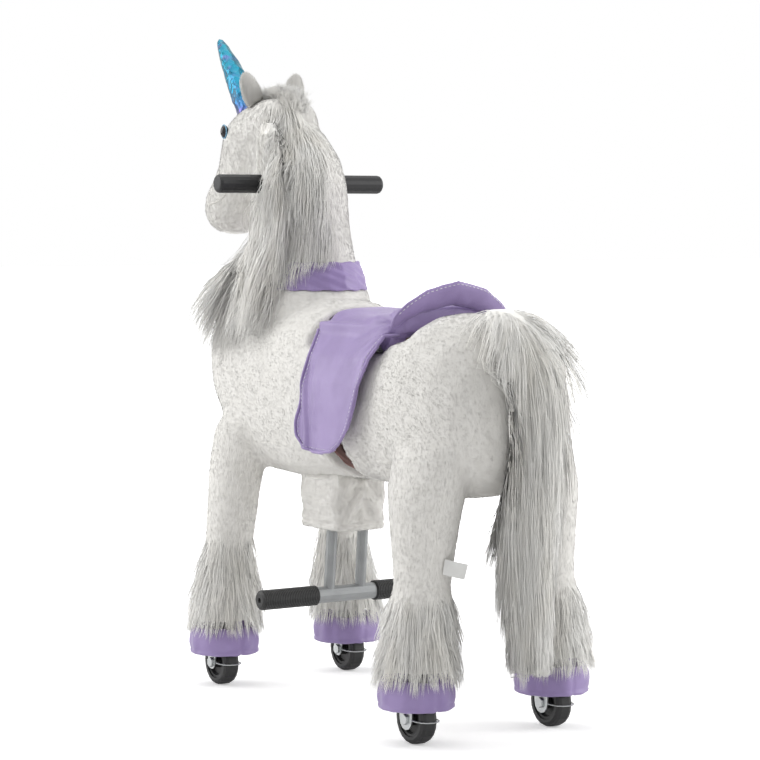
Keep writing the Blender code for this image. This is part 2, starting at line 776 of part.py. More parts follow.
def rear_split_outline():
    """Side outline of everything ahead of the rear half."""
    foot_z = TORSO_LOW_Z - CUT_OVERRUN
    far_y = TORSO_FRONT_Y - CUT_OVERRUN
    top_z = TORSO_TOP_Z + CUT_OVERRUN
    return (
        (rear_face_y(foot_z), foot_z),
        (REAR_SPLIT_Y, SPLIT_Z),
        (REAR_SPLIT_Y, SHELF_Z),
        (REAR_HALF_SHELF_REAR_Y, SHELF_Z),
        (REAR_HALF_SHELF_REAR_Y + FLAP_STAND_OFF, REAR_HALF_STEP_Z),
        (REAR_HALF_TOP_FRONT_Y, REAR_HALF_STEP_Z + REAR_HALF_STEP_SLANT),
        (REAR_HALF_TOP_FRONT_Y, top_z),
        (far_y, top_z),
        (far_y, foot_z),
    )


def ring_loft(rings):
    """A closed tube wall through rings that return to the first one, as a bmesh."""
    shape = bmesh.new()
    rows = [[shape.verts.new(point) for point in ring] for ring in rings]
    count = len(rows[0])
    for near, far in zip(rows, rows[1:] + rows[:1]):
        for i in range(count):
            j = (i + 1) % count
            shape.faces.new((near[i], near[j], far[j], far[i]))
    return shape


def wire(points, radius, sides=WIRE_SIDES):
    """A round wire through points, its section carried along without twist, as a bmesh."""
    points = [Vector(p) for p in points]
    across = Vector((0, 0, 1))
    rings = []
    for i, point in enumerate(points):
        ahead = points[min(i + 1, len(points) - 1)] - points[max(i - 1, 0)]
        ahead.normalize()
        across = across - ahead * across.dot(ahead)
        if across.length < 0.1:
            across = ahead.orthogonal()
        across.normalize()
        over = ahead.cross(across)
        rings.append(
            [
                point + across * (radius * math.cos(a)) + over * (radius * math.sin(a))
                for a in (2 * math.pi * k / sides for k in range(sides))
            ]
        )
    return loft(rings)


def wheel(place, wheel_y, side):
    """A tyre with a rounded tread on a recessed hub, on an axle through the fork."""
    x = side * WHEEL_X
    half = WHEEL_WIDTH / 2
    hub_radius = WHEEL_RADIUS - TYRE_THICKNESS
    tread = [(WHEEL_RADIUS, half - TREAD_ROUNDING), (WHEEL_RADIUS, TREAD_ROUNDING - half)]
    corner = TREAD_ROUNDING * (1 - math.sqrt(0.5))
    profile = [
        (hub_radius + RUNNING_GAP, half),
        (WHEEL_RADIUS - TREAD_ROUNDING, half),
        (WHEEL_RADIUS - corner, half - corner),
        *tread,
        (WHEEL_RADIUS - corner, corner - half),
        (WHEEL_RADIUS - TREAD_ROUNDING, -half),
        (hub_radius + RUNNING_GAP, -half),
    ]
    centre = (x, wheel_y, WHEEL_RADIUS)
    across = (1, 0, 0)
    name = f"{place}_{side_name(side)}"
    tyre = mesh_object(f"tyre_{name}", turned(profile, centre, across, WHEEL_SIDES, hollow=True), BLACK_RUBBER)
    smooth(tyre)
    edge = half - HUB_SIDE_STEP
    web = edge - HUB_RECESS
    rim = hub_radius - HUB_RIM_THICKNESS
    bore = AXLE_RADIUS + RUNNING_GAP
    hub_profile = [
        (hub_radius, edge),
        (rim, edge),
        (rim - HUB_RIM_THICKNESS / 2, web),
        (HUB_BOSS_RADIUS + HUB_RIM_THICKNESS / 2, web),
        (HUB_BOSS_RADIUS, half),
        (bore, half),
    ]
    hub_profile += [(radius, -along) for radius, along in reversed(hub_profile)]
    hub = mesh_object(f"hub_{name}", turned(hub_profile, centre, across, WHEEL_SIDES, hollow=True), BLACK_NYLON)
    smooth(hub)
    reach = FORK_OUTER_X + RUNNING_GAP
    end = reach + HEX_THICKNESS / 2
    axle = mesh_object(
        f"axle_{name}",
        rod((x - end, wheel_y, WHEEL_RADIUS), (x + end, wheel_y, WHEEL_RADIUS), AXLE_RADIUS),
        ZINC_PLATE,
    )
    for way in (-1, 1):
        inner = (x + way * reach, wheel_y, WHEEL_RADIUS)
        outer = (x + way * (reach + HEX_THICKNESS), wheel_y, WHEEL_RADIUS)
        join(axle, rod(inner, outer, HEX_RADIUS, sides=6))


def fork(place, wheel_y, side, foot_radius):
    """A pressed fork with its kingpin and the wire hoop that keeps hair out of the wheel."""
    x = side * WHEEL_X
    half = FORK_PLATE_WIDTH / 2
    steps = WHEEL_SIDES // 3
    foot = []
    for i in range(steps + 1):
        angle = math.pi * (1 + i / steps)
        foot.append((wheel_y + foot_radius * math.cos(angle), WHEEL_RADIUS + foot_radius * math.sin(angle)))
    outline = [(wheel_y + half, CROWN_TOP_Z), (wheel_y - half, CROWN_TOP_Z), *foot]
    made = mesh_object(
        f"{place}_fork_{side_name(side)}", prism(outline, x - FORK_OUTER_X, x + FORK_OUTER_X), ZINC_PLATE
    )
    cut(
        made,
        block(
            (x - FORK_INNER_X, wheel_y - half * 2, 0),
            (x + FORK_INNER_X, wheel_y + half * 2, CROWN_BOTTOM_Z),
        ),
    )
    pin_low = CROWN_TOP_Z - FORK_PLATE_THICKNESS / 2
    join(made, rod((x, wheel_y, pin_low), (x, wheel_y, CROWN_TOP_Z + KINGPIN_LENGTH), KINGPIN_RADIUS))
    reach = FORK_INNER_X + FORK_PLATE_THICKNESS / 2
    start_y = wheel_y + AXLE_RADIUS + GUARD_WIRE_RADIUS * 2
    bend_y = wheel_y + GUARD_REACH - reach
    hoop = [(x - reach, start_y, WHEEL_RADIUS)]
    for i in range(steps + 1):
        angle = math.pi * i / steps
        hoop.append((x - reach * math.cos(angle), bend_y + reach * math.sin(angle), WHEEL_RADIUS))
    hoop.append((x + reach, start_y, WHEEL_RADIUS))
    join(made, wire(hoop, GUARD_WIRE_RADIUS))
    overrun = HEX_THICKNESS
    cut(
        made,
        rod(
            (x - FORK_OUTER_X - overrun, wheel_y, WHEEL_RADIUS),
            (x + FORK_OUTER_X + overrun, wheel_y, WHEEL_RADIUS),
            AXLE_RADIUS + RUNNING_GAP,
        ),
    )
    return smooth(made)


def hoof(place, side, tubes):
    """A cloth bell over the wheel, open below, with a hole for the leg tube."""
    foot_x, foot_y = leg_place(place)
    foot = (side * foot_x, foot_y, HOOF_BOTTOM_Z)
    outer = [
        (HOOF_RADIUS, 0.0),
        (HOOF_RADIUS, HOOF_WALL),
        (HOOF_TOP_RADIUS, HOOF_HEIGHT - HOOF_WALL),
        (HOOF_TOP_RADIUS - HOOF_WALL, HOOF_HEIGHT),
    ]
    inner = [
        (HOOF_RADIUS - HOOF_WALL, -HOOF_WALL),
        (HOOF_RADIUS - HOOF_WALL, HOOF_WALL),
        (HOOF_TOP_RADIUS - HOOF_WALL * 2, HOOF_HEIGHT - HOOF_WALL),
    ]
    made = mesh_object(f"{place}_hoof_{side_name(side)}", turned(outer, foot, (0, 0, 1)), LILAC_CLOTH)
    cut(made, turned(inner, foot, (0, 0, 1)), tubes[3 if side > 0 else 2])
    return smooth(made)


def frame_tubes(pivot_y, cross_y, wheel_y, grow=0.0):
    """The tubes of one leg frame, as separate bmeshes."""
    hub_y = pivot_y + math.copysign(HUB_TUBE_RADIUS / 2, cross_y - pivot_y)
    cross_end = LEG_TOP_HALF_WIDTH + CROSS_TUBE_OVERHANG
    tubes = [
        rod((0, hub_y, PIVOT_HEIGHT), (0, cross_y, PIVOT_HEIGHT), FRAME_TUBE_RADIUS, grow=grow),
        rod((-cross_end, cross_y, PIVOT_HEIGHT), (cross_end, cross_y, PIVOT_HEIGHT), FRAME_TUBE_RADIUS, grow=grow),
    ]
    for side in (-1, 1):
        top = Vector((side * LEG_TOP_HALF_WIDTH, cross_y, PIVOT_HEIGHT + LEG_TUBE_TUCK))
        foot = Vector((side * WHEEL_X, wheel_y, LEG_TUBE_BOTTOM_Z))
        past = (foot - top).normalized() * LEG_TUBE_RADIUS
        tubes.append(rod(top, foot + past, LEG_TUBE_RADIUS, grow=grow * LEG_CHANNEL_EASE))
    return tubes


def head_tube(grow=0.0):
    low, high = (0, STEER_AXIS_Y, PIVOT_HEIGHT), (0, STEER_AXIS_Y, HEAD_TUBE_TOP_Z)
    return rod(low, high, HEAD_TUBE_RADIUS, grow=grow)


def stem_channel():
    """The round hole in the chest for the head tube and the stem's collar."""
    low, high = (0, STEER_AXIS_Y, PIVOT_HEIGHT), (0, STEER_AXIS_Y, NECK_BOTTOM_Z)
    return rod(low, high, HEAD_TUBE_RADIUS, grow=PLUSH_GAP)


def upright_y(z):
    return PEDAL_Y + (z - PEDAL_HEIGHT) * UPRIGHT_SHIFT


def uprights(low_z, high_z, grow=0.0):
    return [
        rod(
            (side * UPRIGHT_HALF_SPACING, upright_y(low_z), low_z),
            (side * UPRIGHT_HALF_SPACING, upright_y(high_z), high_z),
            UPRIGHT_RADIUS,
            grow=grow,
        )
        for side in (-1, 1)
    ]


def leg_frame(name, pivot_y, cross_y, wheel_y):
    """Hub tube, spine, cross tube and two legs, with the spring lug under the hub."""
    made = mesh_object(
        name,
        rod(
            (-HUB_TUBE_HALF_LENGTH, pivot_y, PIVOT_HEIGHT),
            (HUB_TUBE_HALF_LENGTH, pivot_y, PIVOT_HEIGHT),
            HUB_TUBE_RADIUS,
        ),
        GREY_PAINT,
    )
    join(made, *frame_tubes(pivot_y, cross_y, wheel_y))
    half = SPRING_LUG_THICKNESS / 2
    deep = SPRING_LUG_WIDTH / 2
    join(made, block((-half, pivot_y - deep, SPRING_Z - deep), (half, pivot_y + deep, PIVOT_HEIGHT)))
    if name.startswith("front"):
        join(made, head_tube())
        middle = upright_y(PIVOT_HEIGHT - FRAME_TUBE_RADIUS - GUIDE_HEIGHT / 2)
        top_z = PIVOT_HEIGHT - FRAME_TUBE_RADIUS / 2
        low = (-GUIDE_HALF_WIDTH, middle - GUIDE_DEPTH / 2, top_z - GUIDE_HEIGHT)
        join(made, block(low, (GUIDE_HALF_WIDTH, middle + GUIDE_DEPTH / 2, top_z)))
        cut(made, *uprights(PEDAL_HEIGHT, UPRIGHT_TOP_Z, RUNNING_GAP))
        bore_low = (0, STEER_AXIS_Y, STEM_BOTTOM_Z - RUNNING_GAP)
        bore_high = (0, STEER_AXIS_Y, HEAD_TUBE_TOP_Z + HEAD_TUBE_RADIUS)
        cut(made, rod(bore_low, bore_high, STEM_RADIUS + RUNNING_GAP))
    reach = HUB_TUBE_HALF_LENGTH + PIN_HEAD_THICKNESS
    cut(made, rod((-reach, pivot_y, PIVOT_HEIGHT), (reach, pivot_y, PIVOT_HEIGHT), PIVOT_PIN_RADIUS + RUNNING_GAP))
    wide = WHEEL_X + LEG_TUBE_RADIUS * 2
    near = wheel_y - LEG_TUBE_RADIUS * 2
    far = wheel_y + LEG_TUBE_RADIUS * 2
    cut(made, block((-wide, near, LEG_TUBE_BOTTOM_Z - WHEEL_RADIUS), (wide, far, LEG_TUBE_BOTTOM_Z)))
    for side in (-1, 1):
        foot = (side * WHEEL_X, wheel_y, LEG_TUBE_BOTTOM_Z - WHEEL_RADIUS)
        high = (side * WHEEL_X, wheel_y, CROWN_TOP_Z + KINGPIN_LENGTH)
        cut(made, rod(foot, high, KINGPIN_RADIUS, grow=RUNNING_GAP))
    return smooth(made)


def plush_leg(place, side, tubes):
    """A leg that swells into the body above and over the hoof below, with its tube's bore."""
    made = mesh_object(
        f"{place}_leg_{side_name(side)}", loft(leg_rings(place, side)), WHITE_PLUSH
    )
    cut(made, torso(PLUSH_GAP), *tubes)
    return smooth(made)


def pivot_pin(name, pivot_y):
    reach = SIDE_PLATE_X + SIDE_PLATE_THICKNESS + RUNNING_GAP
    end = reach + PIN_HEAD_THICKNESS / 2
    made = mesh_object(
        name, rod((-end, pivot_y, PIVOT_HEIGHT), (end, pivot_y, PIVOT_HEIGHT), PIVOT_PIN_RADIUS), ZINC_PLATE
    )
    for way in (-1, 1):
        outer = (way * (reach + PIN_HEAD_THICKNESS), pivot_y, PIVOT_HEIGHT)
        join(made, rod((way * reach, pivot_y, PIVOT_HEIGHT), outer, PIN_HEAD_RADIUS, sides=6))
    return smooth(made)


def saddle_frame():
    """Two side plates with the pivot bores, a top plate and a spacer tube."""
    front = FRONT_PIVOT_Y - SIDE_PLATE_EDGE
    rear = REAR_PIVOT_Y + SIDE_PLATE_EDGE
    low = PIVOT_HEIGHT - SIDE_PLATE_EDGE
    chamfer = SIDE_PLATE_EDGE / 2
    outline = (
        (front, SADDLE_RAIL_Z),
        (front, low + chamfer),
        (front + chamfer, low),
        (rear - chamfer, low),
        (rear, low + chamfer),
        (rear, SADDLE_RAIL_Z),
    )
    made = mesh_object(
        "saddle_frame",
        block(
            (-SADDLE_RAIL_HALF_WIDTH, front + chamfer / 2, SADDLE_RAIL_Z - TOP_PLATE_THICKNESS / 2),
            (SADDLE_RAIL_HALF_WIDTH, rear - chamfer / 2, SADDLE_RAIL_Z + TOP_PLATE_THICKNESS),
        ),
        GREY_PAINT,
    )
    outer = SIDE_PLATE_X + SIDE_PLATE_THICKNESS
    join(made, prism(outline, -outer, -SIDE_PLATE_X), prism(outline, SIDE_PLATE_X, outer))
    middle = (FRONT_PIVOT_Y + REAR_PIVOT_Y) / 2
    inside = SIDE_PLATE_X + SIDE_PLATE_THICKNESS / 2
    join(made, rod((-inside, middle, PIVOT_HEIGHT), (inside, middle, PIVOT_HEIGHT), SPACER_RADIUS))
    reach = outer + PIN_HEAD_THICKNESS
    for y in (FRONT_PIVOT_Y, REAR_PIVOT_Y):
        cut(made, rod((-reach, y, PIVOT_HEIGHT), (reach, y, PIVOT_HEIGHT), PIVOT_PIN_RADIUS, grow=RUNNING_GAP))
    return smooth(made)


def return_spring():
    """An extension spring between the lugs of the two leg frames."""
    deep = SPRING_LUG_WIDTH / 2
    start = FRONT_PIVOT_Y + deep + RUNNING_GAP
    end = REAR_PIVOT_Y - deep - RUNNING_GAP
    stub = SPRING_COIL_RADIUS
    points = [(0, start, SPRING_Z)]
    count = SPRING_TURNS * SPRING_STEPS_PER_TURN
    for i in range(count + 1):
        share = i / count
        angle = 2 * math.pi * SPRING_TURNS * share
        radius = SPRING_COIL_RADIUS * min(1.0, share * SPRING_TURNS, (1 - share) * SPRING_TURNS)
        y = start + stub + (end - start - 2 * stub) * share
        points.append((radius * math.cos(angle), y, SPRING_Z + radius * math.sin(angle)))
    points.append((0, end, SPRING_Z))
    pitch = (end - start - 2 * stub) / SPRING_TURNS
    print(f"spring: least gap between turns {(pitch - 2 * SPRING_WIRE_RADIUS) * 1000:.1f} mm")
    return smooth(mesh_object("return_spring", wire(points, SPRING_WIRE_RADIUS), SPRING_STEEL))


def front_cavity():
    """The space inside the front half for the saddle frame, the leg frame's hub and the spring."""
    low = (-CAVITY_HALF_WIDTH, CAVITY_FRONT_Y, CAVITY_FLOOR_Z)
    return block(low, (CAVITY_HALF_WIDTH, REAR_HALF_TOP_FRONT_Y, CAVITY_TOP_Z))


def rear_cavity():
    low = (-CAVITY_HALF_WIDTH, CAVITY_FRONT_Y, CAVITY_FLOOR_Z)
    return block(low, (CAVITY_HALF_WIDTH, CAVITY_REAR_Y, TORSO_TOP_Z))


def chest_body(tubes):
    """The front half: chest, belly and the seat of the neck, open behind and at the skirt."""
    made = mesh_object("chest_body", torso(), WHITE_PLUSH)
    seat_top = NECK_BOTTOM_Z - FLAP_THICKNESS
    rings = []
    for lift, wide, deep in NECK_SEAT_SHARES:
        z = seat_top - NECK_SEAT_DEPTH * (1 - lift)
        rings.append(
            [
                Vector((x, NECK_BASE_Y + d, z))
                for x, d in superellipse(NECK_HALF_WIDTH * wide, NECK_HALF_DEPTH * deep, 2.0, PLUSH_SIDES)
            ]
        )
    join(made, loft(rings))
    wide = SKIRT_HALF_WIDTH - SKIRT_WALL
    shaft = block(
        (-wide, CAVITY_FRONT_Y, TORSO_LOW_Z - SKIRT_WALL),
        (wide, SKIRT_REAR_Y - SKIRT_WALL, CAVITY_FLOOR_Z + SKIRT_WALL),
    )
    side = TORSO_HALF_WIDTH + CUT_OVERRUN
    cut(made, prism(front_split_outline(), -side, side), front_cavity(), shaft, stem_channel())
    cut_channel(made, tubes)
    return smooth(made)


def rump_body(tubes):
    """The rear half: rump and thigh roots, open ahead."""
    made = mesh_object("rump_body", torso(), WHITE_PLUSH)
    side = TORSO_HALF_WIDTH + CUT_OVERRUN
    cut(made, prism(rear_split_outline(), -side, side), rear_cavity())
    cut_channel(made, tubes)
    return smooth(made)


def split_liner():
    """The dark cloth band that shows in the slanted split, round the belly."""
    side = TORSO_HALF_WIDTH + CUT_OVERRUN
    gap = RUNNING_GAP * 2
    high_z = PIVOT_HEIGHT - LINER_TOP_DROP
    outline = [
        (FRONT_SPLIT_Y + gap, TORSO_LOW_Z),
        (rear_face_y(TORSO_LOW_Z) - gap, TORSO_LOW_Z),
        (REAR_SPLIT_Y - gap, SPLIT_Z),
        (REAR_SPLIT_Y - gap, high_z),
        (FRONT_SPLIT_Y + gap, high_z),
    ]
    made = mesh_object("split_liner", prism(outline, -side, side), BROWN_CLOTH)
    apply_boolean(made, mesh_object("tool", torso(-LINER_INSET), BROWN_CLOTH), "INTERSECT")
    cut(made, front_cavity())
    return smooth(made)


def belly_skirt():
    """A rounded plush tube that hangs from the belly round the pedal uprights."""
    middle_y = (SKIRT_FRONT_Y + SKIRT_REAR_Y) / 2
    half_depth = (SKIRT_REAR_Y - SKIRT_FRONT_Y) / 2

    def ring(inset, z):
        outline = superellipse(
            SKIRT_HALF_WIDTH - inset, half_depth - inset, SKIRT_CORNER_SQUARENESS, ROUND_SIDES * 3 // 2
        )
        return [Vector((x, middle_y + y, z)) for x, y in outline]

    rings = [
        ring(0, SKIRT_BOTTOM_Z),
        ring(0, SKIRT_TOP_Z),
        ring(SKIRT_WALL, SKIRT_TOP_Z),
        ring(SKIRT_WALL, SKIRT_BOTTOM_Z),
    ]
    made = mesh_object("belly_skirt", ring_loft(rings), WHITE_PLUSH)
    cut(made, torso(PLUSH_GAP))
    return smooth(made)


def neck_tools(grow):
    """The steering stem and handlebar as cutters for what they pass through."""
    stem_low = (0, STEER_AXIS_Y, STEM_BOTTOM_Z)
    stem_high = (0, STEER_AXIS_Y, HANDLE_HEIGHT)
    reach = HANDLE_HALF_LENGTH + GRIP_END_ROUNDING
    return (
        rod(stem_low, stem_high, STEM_CLAMP_RADIUS, grow=grow),
        rod((-reach, STEER_AXIS_Y, HANDLE_HEIGHT), (reach, STEER_AXIS_Y, HANDLE_HEIGHT), HANDLE_GRIP_RADIUS, grow=grow),
    )


def neck_body():
    made = mesh_object("neck_body", loft(neck_rings()), WHITE_PLUSH)
    cut(made, loft(head_rings(PLUSH_GAP)), *neck_tools(PLUSH_GAP))
    clamp = STEM_CLAMP_RADIUS
    cut(
        made,
        rod(
            (0, STEER_AXIS_Y, HANDLE_HEIGHT - clamp),
            (0, STEER_AXIS_Y, HANDLE_HEIGHT + clamp),
            STEM_CLAMP_RADIUS,
            grow=PLUSH_GAP,
        ),
    )
    return smooth(made)


def neck_collar():
    """A cloth band round the foot of the neck, over its swivelling seam."""
    near, far = NECK_SHARES[0], NECK_SHARES[1]

    def ring(grow, rise):
        t = rise / NECK_HEIGHT / far[0]
        return neck_ring(*(a + (b - a) * t for a, b in zip(near, far)), grow)

    gap = RUNNING_GAP + PLUSH_GAP
    rings = [
        ring(COLLAR_THICKNESS, 0),
        ring(COLLAR_THICKNESS, COLLAR_HEIGHT),
        ring(gap, COLLAR_HEIGHT),
        ring(gap, 0),
    ]
    return smooth(mesh_object("neck_collar", ring_loft(rings), LILAC_CLOTH))


def steering_stem():
    """The stem turns in the head tube and carries the handlebar in a sleeve."""
    low = (0, STEER_AXIS_Y, STEM_BOTTOM_Z)
    high = (0, STEER_AXIS_Y, HANDLE_HEIGHT)
    made = mesh_object("steering_stem", rod(low, high, STEM_RADIUS), GREY_PAINT)
    seat = HEAD_TUBE_TOP_Z + RUNNING_GAP
    collar = rod((0, STEER_AXIS_Y, seat), (0, STEER_AXIS_Y, seat + STEM_COLLAR_THICKNESS), HEAD_TUBE_RADIUS)
    sleeve = HANDLE_GRIP_INNER_X / 2
    clamp = rod(
        (-sleeve, STEER_AXIS_Y, HANDLE_HEIGHT), (sleeve, STEER_AXIS_Y, HANDLE_HEIGHT), HANDLE_GRIP_RADIUS
    )
    join(made, collar, clamp)
    reach = HANDLE_GRIP_INNER_X
    bore = rod(
        (-reach, STEER_AXIS_Y, HANDLE_HEIGHT),
        (reach, STEER_AXIS_Y, HANDLE_HEIGHT),
        HANDLE_TUBE_RADIUS,
        grow=RUNNING_GAP,
    )
    cut(made, bore)
    return smooth(made)


def grip(name, inner_x, outer_x, place, radius, tube_radius, end_wall, side, end_hole=0.0):
    """A rubber grip with a rounded end, bored for its tube."""
    y, z = place
    length = outer_x - inner_x
    rounding = GRIP_END_ROUNDING
    profile = [(radius - GRIP_LIP, 0.0), (radius, GRIP_LIP)]
    for i in range(4):
        angle = math.pi / 2 * i / 3
        profile.append(
            (radius - rounding * (1 - math.cos(angle)), length - rounding * (1 - math.sin(angle)))
        )
    made = mesh_object(name, turned(profile, (side * inner_x, y, z), (side, 0, 0), ROUND_SIDES), BLACK_RUBBER)
    bore_end = side * (outer_x - end_wall + RUNNING_GAP)
    cut(made, rod((side * (inner_x - radius), y, z), (bore_end, y, z), tube_radius + RUNNING_GAP))
    if end_hole:
        cut(made, rod((side * (outer_x - end_wall * 2), y, z), (side * (outer_x + end_wall), y, z), end_hole))
    return smooth(made)


def handlebar():
    reach = HANDLE_HALF_LENGTH - HANDLE_BAR_END_WALL
    bar = mesh_object(
        "handlebar",
        rod((-reach, STEER_AXIS_Y, HANDLE_HEIGHT), (reach, STEER_AXIS_Y, HANDLE_HEIGHT), HANDLE_TUBE_RADIUS),
        GREY_PAINT,
    )
    smooth(bar)
    for side in (-1, 1):
        grip(
            f"handle_grip_{side_name(side)}",
            HANDLE_GRIP_INNER_X,
            HANDLE_HALF_LENGTH,
            (STEER_AXIS_Y, HANDLE_HEIGHT),
            HANDLE_GRIP_RADIUS,
            HANDLE_TUBE_RADIUS,
            HANDLE_BAR_END_WALL,
            side,
        )


def pedals():
    """The foot bar and its two uprights, tied above the spine, with a rubber grip at each end."""
    reach = PEDAL_HALF_LENGTH - PEDAL_BAR_END_WALL
    made = mesh_object(
        "pedal_frame",
        rod((-reach, PEDAL_Y, PEDAL_HEIGHT), (reach, PEDAL_Y, PEDAL_HEIGHT), PEDAL_BAR_RADIUS),
        GREY_PAINT,
    )
    join(made, *uprights(PEDAL_HEIGHT, UPRIGHT_TOP_Z - UPRIGHT_TIE_TUCK))
    tie_y = upright_y(UPRIGHT_TOP_Z)
    tie = UPRIGHT_HALF_SPACING + UPRIGHT_TIE_OVERHANG
    join(made, rod((-tie, tie_y, UPRIGHT_TOP_Z), (tie, tie_y, UPRIGHT_TOP_Z), UPRIGHT_RADIUS))
    smooth(made)
    for side in (-1, 1):
        grip(
            f"pedal_grip_{side_name(side)}",
            PEDAL_GRIP_INNER_X,
            PEDAL_HALF_LENGTH,
            (PEDAL_Y, PEDAL_HEIGHT),
            PEDAL_GRIP_RADIUS,
            PEDAL_BAR_RADIUS,
            PEDAL_BAR_END_WALL,
            side,
            end_hole=AXLE_RADIUS,
        )


def head():
    made = mesh_object("head", loft(head_rings()), WHITE_PLUSH)
    return smooth(made)


def ear(side):
    """A cupped leaf, hollowed at its front."""
    base = Vector((side * EAR_BASE_X, EAR_BASE_Y, HEAD_BACK_Z + EAR_BASE_RISE))
    tip = Vector((side * EAR_TIP_X, EAR_TIP_Y, HEAD_BACK_Z + EAR_TIP_RISE))
    rings = []
    for lift, wide in EAR_SHARES:
        at = base.lerp(tip, lift)
        ring = []
        for x, y in superellipse(EAR_HALF_WIDTH * wide, EAR_HALF_THICKNESS * wide, 2.0, PLUSH_SIDES // 2 + 1):
            hollow = EAR_HALF_THICKNESS * wide * EAR_HOLLOW if y < 0 and abs(x) < EAR_HALF_WIDTH * wide / 2 else 0.0
            ring.append(at + Vector((x, y + hollow, 0)))
        rings.append(ring)
    made = mesh_object(f"ear_{side_name(side)}", loft(rings), WHITE_PLUSH)
    cut(made, loft(head_rings(PLUSH_GAP)))
    return smooth(made)


def horn():
    base = Vector((0, HORN_BASE_Y, HEAD_BACK_Z + HORN_BASE_RISE))
    tip = Vector((0, HORN_TIP_Y, HEAD_BACK_Z + HORN_TIP_RISE))
    length = (tip - base).length
    profile = [(HORN_BASE_RADIUS * wide, length * along) for along, wide in HORN_SHARES]
    for i in range(4):
        angle = math.pi / 2 * i / 4
        profile.append(
            (HORN_TIP_RADIUS * math.cos(angle), length - HORN_TIP_RADIUS * (1 - math.sin(angle)))
        )
    made = mesh_object("horn", turned(profile, base, tip - base), FOIL)
    cut(made, loft(head_rings(PLUSH_GAP)))
    return smooth(made)


def eye(side):
    """An oval glass dome set in the side of the head."""
    rings = head_rings()
    near = min((point for ring in rings for point in ring if point.x * side > 0),
               key=lambda p: (p.y - EYE_Y) ** 2 + (p.z - HEAD_BACK_Z + EYE_DROP) ** 2)
    x = near.x
    shape = bmesh.new()
    place = Matrix.Translation((x, EYE_Y, HEAD_BACK_Z - EYE_DROP)) @ Matrix.Diagonal(
        (EYE_STAND_OUT, EYE_HALF_LENGTH, EYE_HALF_HEIGHT, 1.0)
    )
    bmesh.ops.create_uvsphere(shape, u_segments=10, v_segments=8, radius=1.0, matrix=place)
    made = mesh_object(f"eye_{side_name(side)}", shape, EYE_BLACK)
    cut(made, loft(head_rings(RUNNING_GAP)))
    return smooth(made)


def mane():
    """Long hair down the left of the neck, cut to the neck, the head and the grip."""
    rings = []
    low, high = NECK_BOTTOM_Z + MANE_BOTTOM_RISE, HEAD_BACK_Z + MANE_TOP_RISE
    for lift, out, shift, thick, broad in blended_rows(MANE_SHARES, 1):
        z = low + (high - low) * lift
        x = MANE_SIDE_X * out
        y = STEER_AXIS_Y + MANE_HALF_BREADTH * shift
        rings.append(
            [
                Vector((x + a, y + b, z))
                for a, b in superellipse(MANE_THICKNESS * thick, MANE_HALF_BREADTH * broad, 2.0, PLUSH_SIDES)
            ]
        )
    made = mesh_object("mane", loft(rings), LONG_HAIR)
    gap = COLLAR_THICKNESS + PLUSH_GAP
    cut(made, loft(neck_rings(gap)), loft(head_rings(PLUSH_GAP)), neck_tools(PLUSH_GAP)[1])
    return smooth(made)


def tail():
    rings = []
    for lift, out, setback, wide, deep in blended_rows(TAIL_SHARES, 1):
        z = TAIL_BOTTOM_Z + (TAIL_TOP_Z - TAIL_BOTTOM_Z) * lift
        x = TAIL_SIDE_X * out
        y = TAIL_Y - TAIL_ROOT_SETBACK * setback
        rings.append(
            [
                Vector((x + a, y + b, z))
                for a, b in superellipse(TAIL_RADIUS * wide, TAIL_RADIUS * deep, 2.0, PLUSH_SIDES)
            ]
        )
    rings.reverse()
    made = mesh_object("tail", loft(rings), LONG_HAIR)
    cut(made, torso(PLUSH_GAP))
    return smooth(made)


def care_label():
    """A bare cloth tag sewn to the back of the left rear leg, pointing at the tail."""
    leg = leg_rings("rear", 1)
    ring = min(leg, key=lambda points: abs(points[0].z - LABEL_Z))
    back = max(ring, key=lambda point: point.y)
    along = Vector((-math.cos(LABEL_TURN), math.sin(LABEL_TURN), -math.sin(LABEL_DROP))).normalized()
    start = Vector((back.x, back.y - LABEL_SEAM_DEPTH, LABEL_Z))
    middle = start + along * (LABEL_LENGTH / 2)
    side = Vector((0, 0, 1)).cross(along).normalized()
    up = along.cross(side)
    turn = Matrix((along, side, up)).transposed().to_4x4()
    shape = bmesh.new()
    place = Matrix.Translation(middle) @ turn @ Matrix.Diagonal(
        (LABEL_LENGTH, LABEL_THICKNESS, LABEL_HEIGHT, 1.0)
    )
    bmesh.ops.create_cube(shape, size=1.0, matrix=place)
    made = mesh_object("care_label", shape, WHITE_TAPE)
    return cut(made, loft(leg_rings("rear", 1, RUNNING_GAP)))


def seat_shape(grow=0.0):
    """The crowned seat cushion: flat below, dished between its front lip and its raised back."""
    rings = []
    arc = PLUSH_SIDES // 2 + 2
    power = 2 / SEAT_SQUARENESS
    for along, wide, tall in blended_rows(SEAT_SHARES, 2):
        y = SEAT_FRONT_Y + SEAT_LENGTH * along
        half, height = SEAT_HALF_WIDTH * wide + grow, SEAT_HEIGHT * tall + grow
        ring = []
        for i in range(arc + 1):
            angle = math.pi * i / arc
            c, s = math.cos(angle), max(math.sin(angle), 0.0)
            ring.append(
                Vector((half * math.copysign(abs(c) ** power, c), y, SEAT_BASE_Z + height * s ** power))
            )
        rings.append(ring)
    for point in rings[-1]:
        point.y += grow
    return loft(rings)


